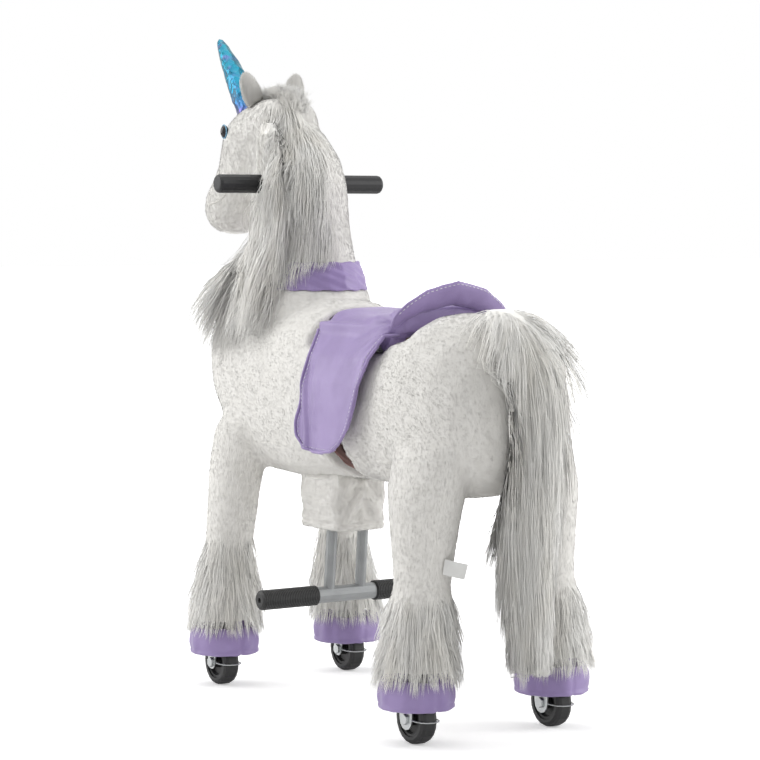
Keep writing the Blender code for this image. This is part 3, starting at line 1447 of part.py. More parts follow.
def saddle_cantle():
    """The raised crescent behind the seat."""
    rings = []
    lean = Vector((0, math.sin(CANTLE_LEAN), math.cos(CANTLE_LEAN)))
    half = blended_rows(CANTLE_SHARES, 1)
    for u, size in [(-u, size) for u, size in reversed(half[1:])] + half:
        fall = u * u
        at = Vector((CANTLE_HALF_SPAN * u, CANTLE_Y - CANTLE_SWEEP * fall, CANTLE_Z - CANTLE_DROOP * fall))
        turn_out = Vector((-2 * u * CANTLE_SWEEP, -CANTLE_HALF_SPAN, 0)).normalized()
        section = superellipse(CANTLE_HALF_THICKNESS * size, CANTLE_HALF_HEIGHT * size, TORSO_SQUARENESS, ROUND_SIDES)
        rings.append([at + turn_out * a + lean * b for a, b in section])
    made = mesh_object("saddle_cantle", loft(rings), LILAC_CLOTH)
    cut(made, seat_shape(PLUSH_GAP))
    return smooth(made)


def seat_board():
    """The plywood board that the cushion is stapled to."""
    shape = block(
        (-BOARD_HALF_WIDTH, SEAT_FRONT_Y + BOARD_SETBACK, BOARD_BASE_Z),
        (BOARD_HALF_WIDTH, SEAT_FRONT_Y + SEAT_LENGTH - BOARD_SETBACK - FLAP_STAND_OFF, BOARD_BASE_Z + BOARD_THICKNESS),
    )
    corners = [e for e in shape.edges if abs(e.verts[0].co.z - e.verts[1].co.z) > BOARD_THICKNESS / 2]
    bmesh.ops.bevel(shape, geom=corners, offset=BOARD_CORNER, segments=5, affect="EDGES", profile=0.5)
    return smooth(mesh_object("seat_board", shape, PLYWOOD))


def saddle_flap(side):
    """A curved leather-cloth flap that hangs from the seat over both halves."""
    columns = 7
    rings = []
    for drop, near, far, out in FLAP_SHARES:
        z = FLAP_TOP_Z - FLAP_DROP * drop
        outer, inner = [], []
        for i in range(columns + 1):
            y = FLAP_FRONT_Y + FLAP_LENGTH * (near + (far - near) * i / columns)
            stand_off = FLAP_STAND_OFF + FLAP_REAR_LIFT * i / columns
            x = max(FLAP_HALF_SPAN * out, torso_side_x(y, z) + stand_off)
            inner.append(Vector((side * x, y, z)))
            outer.append(Vector((side * (x + FLAP_THICKNESS), y, z)))
        rings.append(outer + list(reversed(inner)))
    return smooth(mesh_object(f"saddle_flap_{side_name(side)}", loft(rings), LILAC_CLOTH))


def joint_empty(name, place, children):
    """An empty on a joint's axis that carries the pieces that move with it."""
    empty = bpy.data.objects.new(name, None)
    empty.empty_display_size = WHEEL_RADIUS
    empty.location = place
    bpy.context.scene.collection.objects.link(empty)
    bpy.context.view_layer.update()
    for child in children:
        item = bpy.data.objects[child]
        item.parent = empty
        item.matrix_parent_inverse = empty.matrix_world.inverted()
    return empty


def build_front_half():
    front = (FRONT_PIVOT_Y, FRONT_CROSS_Y, FRONT_WHEEL_Y)
    leg_frame("front_leg_frame", *front)
    chest_body(frame_tubes(*front, grow=PLUSH_GAP))
    belly_skirt()
    for side in (-1, 1):
        plush_leg("front", side, frame_tubes(*front, grow=PLUSH_GAP))
        hoof("front", side, frame_tubes(*front, grow=HOOF_HOLE_EASE))
        fork("front", FRONT_WHEEL_Y, side, FORK_FOOT_RADIUS)
        wheel("front", FRONT_WHEEL_Y, side)


def build_rear_half():
    rear = (REAR_PIVOT_Y, REAR_CROSS_Y, REAR_WHEEL_Y)
    leg_frame("rear_leg_frame", *rear)
    rump_body(frame_tubes(*rear, grow=PLUSH_GAP))
    for side in (-1, 1):
        plush_leg("rear", side, frame_tubes(*rear, grow=PLUSH_GAP))
        hoof("rear", side, frame_tubes(*rear, grow=HOOF_HOLE_EASE))
        fork("rear", REAR_WHEEL_Y, side, FORK_PLATE_WIDTH / 2 - FORK_PLATE_THICKNESS)
        wheel("rear", REAR_WHEEL_Y, side)
    tail()
    care_label()


def build_neck():
    steering_stem()
    handlebar()
    neck_body()
    neck_collar()
    head()
    horn()
    mane()
    for side in (-1, 1):
        ear(side)
        eye(side)


def build_saddle():
    saddle_frame()
    pivot_pin("front_pivot_pin", FRONT_PIVOT_Y)
    pivot_pin("rear_pivot_pin", REAR_PIVOT_Y)
    return_spring()
    split_liner()
    seat_board()
    smooth(mesh_object("saddle_seat", seat_shape(), LILAC_CLOTH))
    saddle_cantle()
    for side in (-1, 1):
        saddle_flap(side)


def add_joint_empties():
    joint_empty(
        "front_half_pivot",
        (0, FRONT_PIVOT_Y, PIVOT_HEIGHT),
        ["front_leg_frame", "chest_body", "belly_skirt", "front_leg_left", "front_leg_right",
         "front_hoof_left", "front_hoof_right"],
    )
    joint_empty(
        "rear_half_pivot",
        (0, REAR_PIVOT_Y, PIVOT_HEIGHT),
        ["rear_leg_frame", "rump_body", "rear_leg_left", "rear_leg_right", "rear_hoof_left",
         "rear_hoof_right", "rear_fork_left", "rear_fork_right", "axle_rear_left", "axle_rear_right",
         "tail", "care_label"],
    )
    joint_empty(
        "steering_pivot",
        (0, STEER_AXIS_Y, HEAD_TUBE_TOP_Z),
        ["steering_stem", "handlebar", "handle_grip_left", "handle_grip_right", "neck_body",
         "neck_collar", "head", "horn", "mane", "ear_left", "ear_right", "eye_left", "eye_right"],
    )
    joint_empty(
        "pedal_slide",
        (0, PEDAL_Y, PEDAL_HEIGHT),
        ["pedal_frame", "pedal_grip_left", "pedal_grip_right"],
    )
    for side in (-1, 1):
        name = side_name(side)
        joint_empty(
            f"front_fork_swivel_{name}",
            (side * WHEEL_X, FRONT_WHEEL_Y, CROWN_TOP_Z),
            [f"front_fork_{name}", f"axle_front_{name}"],
        )
    for place, wheel_y in (("front", FRONT_WHEEL_Y), ("rear", REAR_WHEEL_Y)):
        for side in (-1, 1):
            name = f"{place}_{side_name(side)}"
            joint_empty(
                f"wheel_axis_{name}",
                (side * WHEEL_X, wheel_y, WHEEL_RADIUS),
                [f"tyre_{name}", f"hub_{name}"],
            )


def main():
    clear_scene()
    build_front_half()
    build_rear_half()
    build_neck()
    pedals()
    build_saddle()
    add_joint_empties()


main()
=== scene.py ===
"""Looks of a plush ride-on unicorn on castors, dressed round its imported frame. Metres, +Z up."""

import math

import bmesh
import bpy
import numpy as np
from mathutils import Matrix, Vector
from mathutils.bvhtree import BVHTree
from mathutils.kdtree import KDTree


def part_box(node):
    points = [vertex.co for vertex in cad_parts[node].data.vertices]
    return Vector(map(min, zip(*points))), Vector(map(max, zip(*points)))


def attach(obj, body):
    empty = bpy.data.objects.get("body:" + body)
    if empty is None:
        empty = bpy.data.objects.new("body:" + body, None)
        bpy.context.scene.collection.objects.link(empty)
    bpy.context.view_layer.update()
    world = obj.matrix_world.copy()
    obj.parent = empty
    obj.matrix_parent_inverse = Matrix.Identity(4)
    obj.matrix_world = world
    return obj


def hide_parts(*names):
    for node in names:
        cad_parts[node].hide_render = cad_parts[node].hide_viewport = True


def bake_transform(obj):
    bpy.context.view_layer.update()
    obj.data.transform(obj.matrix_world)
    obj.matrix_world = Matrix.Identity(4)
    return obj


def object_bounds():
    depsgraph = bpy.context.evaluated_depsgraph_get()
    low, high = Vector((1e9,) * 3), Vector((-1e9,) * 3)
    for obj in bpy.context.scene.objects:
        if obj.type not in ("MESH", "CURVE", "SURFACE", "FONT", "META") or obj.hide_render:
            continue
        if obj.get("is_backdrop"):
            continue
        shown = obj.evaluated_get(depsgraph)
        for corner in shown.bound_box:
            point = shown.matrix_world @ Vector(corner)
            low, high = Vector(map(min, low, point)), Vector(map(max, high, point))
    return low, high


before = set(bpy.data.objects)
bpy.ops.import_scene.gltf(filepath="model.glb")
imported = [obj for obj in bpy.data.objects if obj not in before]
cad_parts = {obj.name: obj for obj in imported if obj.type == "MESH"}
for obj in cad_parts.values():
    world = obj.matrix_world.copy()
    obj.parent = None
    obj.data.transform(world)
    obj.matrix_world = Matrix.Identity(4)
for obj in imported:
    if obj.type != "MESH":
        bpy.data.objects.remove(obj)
cad_low, cad_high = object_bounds()
random = np.random.default_rng(7)

SIDES = (("left", 1), ("right", -1))
DOWN = np.array((0.0, 0.0, -1.0))

# Camera of the photograph: its direction, distance and lens
CAMERA_AZIMUTH = math.radians(147.27)
CAMERA_ELEVATION = math.radians(3.593)
CAMERA_DISTANCE = 3.777
CAMERA_TARGET = Vector((-0.0009, 0.0306, 0.475))
CAMERA_LENS_MM = 123.16
CAMERA_SENSOR_MM = 36.0
# The same view from above: how far x and y take a place to the right of the picture's middle
ACROSS_X = -0.841
ACROSS_Y = 0.541
ACROSS_MIDDLE_Y = 0.03

# Light: name, place, size and power of each soft lamp, and the brightness round the toy
LAMPS = (
    ("top_box", (0.3, -0.6, 2.6), (2.4, 2.4), 27.0),
    ("left_box", (2.4, -2.2, 1.5), (1.8, 2.4), 50.0),
    ("right_box", (-2.6, 1.7, 1.5), (1.6, 2.2), 58.0),
)
LAMP_AIM = (0.0, 0.0, 0.5)
WORLD_STRENGTH = 0.58
FLOOR_REACH = 30.0
# The floor's own glow, from near the toy to far from it
FLOOR_GLOW_NEAR, FLOOR_GLOW_FAR = 0.45, 2.4
FLOOR_GLOW_LEAST, FLOOR_GLOW_MOST = 0.34, 1.1

# Colours
PILE_WHITE = (0.80, 0.785, 0.75)
PILE_SHADE = (0.77, 0.755, 0.715)
HAIR_WHITE = (0.95, 0.94, 0.90)
HAIR_CREAM = (0.92, 0.895, 0.83)
LILAC = (0.320, 0.240, 0.470)
LILAC_DEEP = (0.245, 0.178, 0.375)
BROWN = (0.060, 0.022, 0.016)
BROWN_DEEP = (0.028, 0.009, 0.007)
THREAD_WHITE = (0.80, 0.78, 0.84)
# The foil from the horn's base up, and the patches on it
FOIL_BANDS = (
    (0.0, (0.30, 0.14, 0.46)), (0.14, (0.16, 0.10, 0.36)), (0.30, (0.02, 0.11, 0.26)),
    (0.48, (0.0, 0.16, 0.26)), (1.0, (0.0, 0.19, 0.26)),
)
FOIL_PATCHES = ((0.30, (0.14, 0.07, 0.34)), (0.62, (0.0, 0.05, 0.14)))
GREY_TUBE = (0.33, 0.34, 0.345)
RUBBER_BLACK = (0.009, 0.009, 0.009)
FLOOR_WHITE = (0.93, 0.93, 0.93)

# Fur
PILE_INSET = 0.0018
PILE_LENGTH = 0.0038
NECK_PILE_LENGTH = 0.0042
PILE_RADIUS = 0.00036
PILE_COUNT = 48000
SKIRT_PILE_COUNT = 15000
EAR_PILE_COUNT = 6500
PILE_LEAN = 1.25
HAIR_RADIUS = 0.00046
HAIR_ROOT_DEPTH = 0.001
FEATHER_HAIRS = 2700
TAIL_CORE_INSET = 0.0030
TAIL_SLIMMING = 0.0105
TAIL_REACH_Y = 0.470
# Lowest and highest root, count of hairs, and how straight down they hang
TAIL_LAYERS = ((0.05, 0.36, 3000, 0.6), (0.30, 0.62, 3600, 0.35))
MANE_CORE_INSET = 0.005
MANE_PIECES = 3
MANE_CORE_HAIRS = 1700
MANE_NECK_HAIRS = 1300
MANE_END_HAIRS = 2800
# Heights, and how far back the hair on the neck's own skin reaches at each, seen by the camera
MANE_BACK_EDGE = (
    (0.649, 0.710, 0.763, 0.809, 0.847, 0.880),
    (-0.070, -0.071, -0.080, -0.088, -0.108, -0.125),
)
CREST_HAIRS = 2600
FEATHER_TOP_Z = {"front": 0.228, "rear": 0.205}
# The hollow under the saddle, and the shelf at its edge
SHELF_Z = 0.524
CAVITY_LOW = np.array((-0.060, -0.082, 0.388))
CAVITY_HIGH = np.array((0.060, 0.245, 0.572))
COVER_CLEARANCE = 0.0065
BROW_FULLNESS = 0.0055
SKIRT_WALL = 0.006
COLLAR_CLEARANCE = 0.004
HANDLE_PLACE = (-0.320, 0.841)
HANDLE_CLEARANCE = 0.0135

# The split between the halves: its two faces, the lower part of the rear one slanting forward
SPLIT_FRONT_Y = 0.045
SPLIT_REAR_Y = 0.091
SPLIT_SLANT_TOP_Z = 0.372
SPLIT_SLANT = 0.80
SPLIT_LOW_Z = 0.29
SPLIT_OPEN_Z = 0.440
SPLIT_FRONT_OPENING = 0.012
SPLIT_REAR_OPENING = 0.010


# Meshes


def new_object(name, data):
    item = bpy.data.objects.new(name, data)
    bpy.context.scene.collection.objects.link(item)
    return item


def mesh_of(name, points, quads, triangles=()):
    """A smooth mesh from arrays of points, four-sided faces and three-sided faces."""
    points = points.reshape(-1, 3)
    quads, triangles = np.array(quads, int).reshape(-1, 4), np.array(triangles, int).reshape(-1, 3)
    mesh = bpy.data.meshes.new(name)
    mesh.vertices.add(len(points))
    mesh.vertices.foreach_set("co", np.ascontiguousarray(points, np.float32).ravel())
    loops = np.concatenate([quads.ravel(), triangles.ravel()]).astype(np.int32)
    mesh.loops.add(len(loops))
    mesh.loops.foreach_set("vertex_index", loops)
    starts = np.concatenate([np.arange(len(quads)) * 4, len(quads) * 4 + np.arange(len(triangles)) * 3])
    mesh.polygons.add(len(starts))
    mesh.polygons.foreach_set("loop_start", starts.astype(np.int32))
    mesh.polygons.foreach_set("use_smooth", np.ones(len(starts), bool))
    mesh.update(calc_edges=True)
    return mesh


def values_of(items, key, width, kind=np.float32):
    values = np.empty(len(items) * width, kind)
    items.foreach_get(key, values)
    return values.reshape(-1, width)


def points_of(mesh):
    return values_of(mesh.vertices, "co", 3).astype(float)


def normals_of(mesh):
    return values_of(mesh.vertices, "normal", 3).astype(float)


def set_points(mesh, points):
    mesh.vertices.foreach_set("co", np.ascontiguousarray(points, np.float32).ravel())
    mesh.update()


def at_places(value, points):
    """A value that may depend on the place."""
    return value(points) if callable(value) else value


def unit(vectors):
    length = np.linalg.norm(vectors, axis=-1, keepdims=True)
    return vectors / np.maximum(length, 1e-9)


def along(vectors, facing):
    """Vectors laid down on the surfaces that face these ways, at length 1."""
    return unit(vectors - (vectors * facing).sum(axis=-1, keepdims=True) * facing)


def step_share(values, low, high):
    """0 below low, 1 above high, and a soft rise between."""
    share = np.clip((values - low) / (high - low), 0.0, 1.0)
    return share * share * (3 - 2 * share)


def combed(ways, facing, jitter):
    """Ways laid down on a surface, each turned a little at random."""
    return along(ways + random.normal(size=facing.shape) * jitter, facing)


def across_view(points):
    """How far places lie to the right of the middle, as the camera sees them."""
    return ACROSS_X * points[:, 0] + ACROSS_Y * (points[:, 1] - ACROSS_MIDDLE_Y)


def relax(mesh, rounds, hold=None):
    """Smooths a mesh, less where hold says 1, by moving each point towards the mean of its neighbours."""
    points, edges = points_of(mesh), values_of(mesh.edges, "vertices", 2, np.int32)
    count = np.zeros(len(points))
    np.add.at(count, edges.ravel(), 1)
    share = 0.5 if hold is None else 0.5 * (1 - hold(points))[:, None]
    for _ in range(rounds):
        total = np.zeros_like(points)
        np.add.at(total, edges[:, 0], points[edges[:, 1]])
        np.add.at(total, edges[:, 1], points[edges[:, 0]])
        points += (total / np.maximum(count, 1)[:, None] - points) * share
    set_points(mesh, points)


def mesh_from(shape, name):
    """Turns a bmesh into a mesh."""
    mesh = bpy.data.meshes.new(name)
    shape.to_mesh(mesh)
    shape.free()
    return mesh


def joined_copy(name, nodes, extra=()):
    """One new mesh with the shapes of several solids of the frame and other meshes."""
    shape = bmesh.new()
    for node in nodes:
        shape.from_mesh(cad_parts[node].data)
    for mesh in extra:
        shape.from_mesh(mesh)
    return mesh_from(shape, name)


def tree_of(mesh):
    shape = bmesh.new()
    shape.from_mesh(mesh)
    tree = BVHTree.FromBMesh(shape)
    shape.free()
    return tree


def distances(tree, places, reach):
    """How far each place is from a surface, or reach where it is further."""
    found = np.full(len(places), reach)
    for i, place in enumerate(places):
        hit = tree.find_nearest(Vector(place), reach)
        if hit[0] is not None:
            found[i] = hit[3]
    return found


def smoothed(item):
    item.data.polygons.foreach_set("use_smooth", np.ones(len(item.data.polygons), bool))
    return item


def remeshed(item, voxel):
    """The object with its mesh rebuilt on an even grid."""
    remesh = item.modifiers.new("remesh", "REMESH")
    remesh.mode = "VOXEL"
    remesh.voxel_size = voxel
    graph = bpy.context.evaluated_depsgraph_get()
    mesh = bpy.data.meshes.new_from_object(item.evaluated_get(graph))
    item.modifiers.clear()
    old, item.data = item.data, mesh
    bpy.data.meshes.remove(old)
    return smoothed(item)


def displace(item, depth):
    """Moves each point of a piece along the way that it faces."""
    points = points_of(item.data)
    set_points(item.data, points + normals_of(item.data) * np.reshape(depth(points), (-1, 1)))
    return item


def skin(name, nodes, body, voxel, rounds, extra=(), inset=None, hold=None):
    """A smooth sewn skin over soft solids of the frame, which it replaces."""
    item = remeshed(new_object(name, joined_copy(name, nodes, extra)), voxel)
    relax(item.data, rounds, hold)
    if inset is not None:
        displace(item, lambda points: -1.0 * at_places(inset, points))
        relax(item.data, 3, hold)
    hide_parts(*nodes)
    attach(item, body)
    return item


# Fur


def scatter(mesh, count, region=None):
    """Random places in a region of a mesh, spread by area, and the way that it faces there."""
    points, normals = points_of(mesh), normals_of(mesh)
    mesh.calc_loop_triangles()
    corners = values_of(mesh.loop_triangles, "vertices", 3, np.int32)
    a, b, c = points[corners[:, 0]], points[corners[:, 1]], points[corners[:, 2]]
    weight = np.linalg.norm(np.cross(b - a, c - a), axis=1)
    if region is not None:
        weight = weight * region((a + b + c) / 3, unit(normals[corners].sum(axis=1)))
    pick = random.choice(len(weight), count, p=weight / weight.sum())
    s, t = random.random(count), random.random(count)
    flip = s + t > 1
    s[flip], t[flip] = 1 - s[flip], 1 - t[flip]
    mix = np.stack([1 - s - t, s, t], axis=1)[:, :, None]
    places = (points[corners[pick]] * mix).sum(axis=1)
    return places, unit((normals[corners[pick]] * mix).sum(axis=1))


def frames_along(paths, carried):
    """The way ahead at each point of paths, and a way across it that turns as little as it can."""
    ahead, side = unit(np.gradient(paths, axis=-2)), np.empty_like(paths)
    for k in range(paths.shape[-2]):
        carried = along(carried, ahead[..., k, :])
        side[..., k, :] = carried
    return ahead, side


def ring_round(ahead, side, sides):
    """Ways out from a path, evenly round it."""
    turn = np.arange(sides)[:, None] * 2 * math.pi / sides
    return np.cos(turn) * side[..., None, :] + np.sin(turn) * np.cross(ahead, side)[..., None, :]


def tubes(name, paths, radii, facing=None, share=0.93):
    """Closed three-sided fibres along paths, each ending in a point.

    Where facing is given they are shaded mostly as the surface that they grow on, so that a coat looks soft.
    """
    count, steps = paths.shape[:2]
    ahead, side = frames_along(paths, random.normal(size=(count, 3)))
    rings = paths[:, :, None] + ring_round(ahead, side, 3) * radii[..., None, None]
    points = np.concatenate([rings[:, :-1].reshape(count, -1, 3), paths[:, -1:]], axis=1)
    each = (steps - 1) * 3 + 1
    last = (steps - 2) * 3
    walls, ends = [], [(0, 2, 1)]
    for s in range(3):
        t = (s + 1) % 3
        walls += [(r * 3 + s, r * 3 + t, r * 3 + 3 + t, r * 3 + 3 + s) for r in range(steps - 2)]
        ends.append((last + s, last + t, each - 1))
    first = np.arange(count)[:, None, None] * each
    mesh = mesh_of(name, points, first + np.array(walls, int).reshape(-1, 4), first + np.array(ends))
    if facing is not None:
        ways = unit(np.repeat(facing, each, axis=0)) * share + normals_of(mesh) * (1 - share)
        mesh.normals_split_custom_set_from_vertices(unit(ways).tolist())
    return mesh


def comb(tree, roots, flow, lengths, steps, lift, fall):
    """Paths of hairs that lie down over a surface along the flow and hang free past its edge."""
    paths = np.empty((len(roots), steps, 3))
    paths[:, 0] = roots
    down = Vector(DOWN)
    for i in range(len(roots)):
        point, heading = Vector(roots[i]), Vector(flow[i])
        stride = lengths[i] / (steps - 1)
        for k in range(1, steps):
            ahead = point + heading * stride
            near, out, _, _ = tree.find_nearest(ahead)
            want = lift[i] * min(1.0, k / 2.0)
            if (ahead - near).dot(out) < want:
                ahead = near + out * want
            step = ahead - point
            if step.length > 1e-6:
                heading = (step.normalized() * (1 - fall) + down * fall).normalized()
            point = ahead
            paths[i, k] = point
    return paths


def hanging(paths, facing, length, share=0.55):
    """The hairs that hang down as they should, without those that stick out sideways."""
    kept = paths[:, 0, 2] - paths[:, -1, 2] > share * length
    return paths[kept], facing[kept]


def locks(paths, every, pull, wave, turns):
    """Draws hairs together in locks towards their ends and gives each lock its own wave."""
    count, steps = paths.shape[:2]
    guides = np.arange(0, count, every)
    tree = KDTree(len(guides))
    for number, guide in enumerate(guides):
        tree.insert(Vector(paths[guide, 1]), number)
    tree.balance()
    nearest = np.array([tree.find(Vector(place))[1] for place in paths[:, 1]])
    share = (np.linspace(0, 1, steps) ** 1.3)[None, :, None] * pull
    drawn = paths + (paths[guides[nearest]] - paths) * share
    ahead = unit(np.gradient(drawn, axis=1))
    across = along(random.normal(size=(len(guides), 3))[nearest][:, None], ahead)
    phase = random.random(len(guides))[nearest][:, None] * 2 * math.pi
    t = np.linspace(0, 1, steps)[None]
    swing = np.sin(phase + t * turns * 2 * math.pi) - np.sin(phase)
    return drawn + across * (swing * wave * t)[:, :, None]


def hair(name, paths, facing):
    """Long hairs along paths, each of its own thickness and thinner towards its end."""
    count, steps = paths.shape[:2]
    shape = np.array([1 - 0.75 * (k / (steps - 1)) ** 1.5 for k in range(steps)])
    radii = HAIR_RADIUS * random.uniform(0.7, 1.25, count)[:, None] * shape[None]
    return new_object(name, tubes(name, paths, radii, facing))


def hair_on(body, name, paths, facing):
    return trim(hair(name, paths, facing), "hair", body)


def pile(name, skin_item, body, count, flow, length, lean, region=None, avoid=(), clearance=0.0):
    """Short dense fibres on a skin, leaning along the flow."""
    places, facing = scatter(skin_item.data, count, region)
    for tree in avoid:
        clear = distances(tree, places, clearance * 1.01) > clearance
        places, facing = places[clear], facing[clear]
    lying = combed(at_places(flow, places), facing, 0.22)
    ripple = 0.5 + 0.5 * np.sin(places @ np.array((90.0, 60.0, 140.0)) + 3 * np.sin(places[:, 2] * 60))
    angle = lean * (0.92 + 0.12 * ripple)[:, None]
    heading = unit(facing * np.cos(angle) + lying * np.sin(angle))
    long = at_places(length, places) * random.uniform(0.7, 1.2, len(places))
    radii = PILE_RADIUS * random.uniform(0.8, 1.25, len(places))
    paths = np.stack([places - heading * HAIR_ROOT_DEPTH, places + heading * long[:, None]], axis=1)
    mesh = tubes(name, paths, np.stack([radii, radii], axis=1), facing, 0.97)
    return trim(new_object(name, mesh), "pile_fibre", body)


# Materials


def new_node(tree, kind, values=None, links=None):
    """A new node with values set on its inputs and sockets linked to them."""
    step = tree.nodes.new(kind)
    for key, value in (values or {}).items():
        step.inputs[key].default_value = value
    for key, socket in (links or {}).items():
        tree.links.new(socket, step.inputs[key])
    return step


class Look:
    """A Principled material with helpers for the nodes that feed it."""

    def __init__(self, name, roughness=0.5, metallic=0.0, **settings):
        self.material = bpy.data.materials.new(name)
        self.material.use_nodes = True
        self.links = self.material.node_tree.links
        self.inputs = self.material.node_tree.nodes["Principled BSDF"].inputs
        for key, value in dict(Roughness=roughness, Metallic=metallic, **settings).items():
            self.inputs[key.replace("_", " ")].default_value = value
        self.place = self.add("ShaderNodeTexCoord").outputs["Object"]

    def add(self, kind, values=None, links=None):
        return new_node(self.material.node_tree, kind, values, links)

    def stretched(self, scale, turn=(0.0, 0.0, 0.0)):
        step = self.add("ShaderNodeMapping", {"Scale": scale, "Rotation": turn}, {"Vector": self.place})
        return step.outputs["Vector"]

    def noise(self, scale, detail=3.0, place=None):
        values = {"Scale": scale, "Detail": detail}
        return self.add("ShaderNodeTexNoise", values, {"Vector": place or self.place}).outputs["Fac"]

    def cells(self, scale, place=None, output="Distance"):
        step = self.add("ShaderNodeTexVoronoi", {"Scale": scale}, {"Vector": place or self.place})
        return step.outputs[output]

    def part(self, axis):
        return self.add("ShaderNodeSeparateXYZ", links={"Vector": self.place}).outputs[axis]

    def spread(self, value, low, high, to_low=0.0, to_high=1.0):
        values = {"From Min": low, "From Max": high, "To Min": to_low, "To Max": to_high}
        return self.add("ShaderNodeMapRange", values, {"Value": value}).outputs["Result"]

    def mixed(self, share, first, second, blend="MIX"):
        """Two colours mixed by a share. Each of the three is a value or a socket."""
        step = self.add("ShaderNodeMix")
        step.data_type, step.blend_type = "RGBA", blend
        for at, source in ((0, share), (6, first), (7, second)):
            if isinstance(source, float):
                step.inputs[at].default_value = source
            else:
                self.links.new(source, step.inputs[at])
        return step.outputs[2]

    def ramp(self, value, stops):
        step = self.add("ShaderNodeValToRGB", links={"Fac": value})
        elements = step.color_ramp.elements
        while len(elements) < len(stops):
            elements.new(0.5)
        for element, (at, colour) in zip(elements, stops):
            element.position = at
            element.color = (*colour, 1.0)
        return step.outputs["Color"]

    def colour(self, socket):
        self.links.new(socket, self.inputs["Base Color"])

    def bump(self, value, distance, strength):
        """Adds a relief to those that the material has."""
        step = self.add("ShaderNodeBump", {"Distance": distance, "Strength": strength}, {"Height": value})
        if self.inputs["Normal"].is_linked:
            self.links.new(self.inputs["Normal"].links[0].from_socket, step.inputs["Normal"])
        self.links.new(step.outputs["Normal"], self.inputs["Normal"])

    def roughness(self, socket, low, high):
        self.links.new(self.spread(socket, 0.0, 1.0, low, high), self.inputs["Roughness"])


def pile_look(name, light, shade, scale):
    """White plush: light tips and slightly darker pile between them."""
    look = Look(name, 0.95, Sheen_Weight=0.12, Sheen_Roughness=0.6)
    patches = look.ramp(look.noise(24.0), ((0.35, (0.98, 0.98, 0.98)), (0.65, (1.0, 1.0, 1.0))))
    fine = look.ramp(look.noise(scale), ((0.30, shade), (0.62, light)))
    look.colour(look.mixed(1.0, fine, patches, "MULTIPLY"))
    look.bump(look.noise(42.0, place=look.stretched((1.0, 1.0, 0.45), (0.35, 0.0, 0.0))), 0.0030, 0.08)
    look.bump(look.noise(520.0), 0.0005, 0.15)
    return look.material


def hair_look():
    """Long white hair with cream patches and fine streaks."""
    look = Look("long_hair", 0.85, Sheen_Weight=0.4, Sheen_Roughness=0.6)
    look.bump(look.noise(260.0, 2.0, look.stretched((1.0, 1.0, 0.07))), 0.0012, 0.22)
    patches = look.noise(30.0, 4.0, look.stretched((1.0, 1.0, 0.30)))
    look.colour(look.ramp(patches, ((0.30, HAIR_CREAM), (0.56, HAIR_WHITE))))
    return look.material


def lilac_look(name, grain_depth=0.0004, creases=0.0012):
    """Lilac cloth with a leathery coat: fine grain, soft creases and uneven gloss."""
    look = Look(name, 0.42, Coat_Weight=0.08, Coat_Roughness=0.32, Sheen_Weight=0.15, Sheen_Roughness=0.4)
    look.colour(look.ramp(look.noise(15.0, 4.0), ((0.30, LILAC_DEEP), (0.60, LILAC))))
    look.bump(look.noise(38.0, 4.0, look.stretched((1.0, 1.0, 0.6), (0.4, 0.2, 0.0))), creases, 0.45)
    look.bump(look.cells(1100.0), grain_depth, 0.35)
    look.roughness(look.noise(45.0), 0.34, 0.56)
    return look.material


def plain_look(name, colour, roughness, metallic=0.0, grain=400.0, depth=0.0002, spread=0.12):
    """A plain finish with slight mottling of its colour and roughness."""
    look = Look(name, roughness, metallic)
    darker = tuple(c * (1 - spread) for c in colour)
    look.colour(look.ramp(look.noise(grain / 8, 4.0), ((0.3, darker), (0.7, colour))))
    look.bump(look.noise(grain, 2.0), depth, 0.3)
    look.roughness(look.noise(grain / 5, 4.0), roughness * 0.85, min(roughness * 1.15, 1.0))
    return look.material


def velvet_look():
    """Dark brown velvet with a soft glow at its edges."""
    look = Look("brown_velvet", 0.95, Sheen_Weight=0.7, Sheen_Roughness=0.35)
    look.inputs["Sheen Tint"].default_value = (0.55, 0.30, 0.26, 1.0)
    look.colour(look.ramp(look.noise(45.0, 4.0), ((0.3, BROWN_DEEP), (0.7, BROWN))))
    look.bump(look.noise(320.0), 0.0008, 0.6)
    return look.material


def foil_look():
    """Crinkled holographic cloth: teal over blue, violet low, with violet and dark blue patches at random."""
    look = Look("holographic_foil", 0.26, 0.8, Coat_Weight=0.25, Coat_Roughness=0.12)
    height = look.spread(look.part("Z"), 0.845, 0.985)
    base = look.ramp(height, FOIL_BANDS)
    patches = look.ramp(look.cells(70.0, output="Color"), FOIL_PATCHES)
    share = look.spread(look.noise(45.0, 2.0), 0.46, 0.60, 0.0, 0.5)
    look.colour(look.mixed(share, base, patches))
    look.bump(look.cells(95.0, look.stretched((1.0, 1.0, 0.55), (0.5, 0.1, 0.0))), 0.0030, 0.8)
    look.bump(look.noise(210.0), 0.0006, 0.6)
    look.roughness(look.noise(90.0), 0.16, 0.36)
    return look.material


def ribbed_look(name, colour, step, roughness):
    """Moulded rubber with fine ribs along its length."""
    look = Look(name, roughness)
    darker = tuple(c * 0.8 for c in colour)
    look.colour(look.ramp(look.noise(60.0, 4.0), ((0.3, darker), (0.7, colour))))
    wave = look.add("ShaderNodeTexWave", {"Scale": step}, {"Vector": look.place})
    wave.wave_type, wave.bands_direction = "BANDS", "X"
    look.bump(wave.outputs["Fac"], 0.0010, 0.8)
    look.bump(look.noise(900.0, 2.0), 0.0001, 0.3)
    look.roughness(look.noise(90.0), roughness * 0.8, roughness * 1.2)
    return look.material


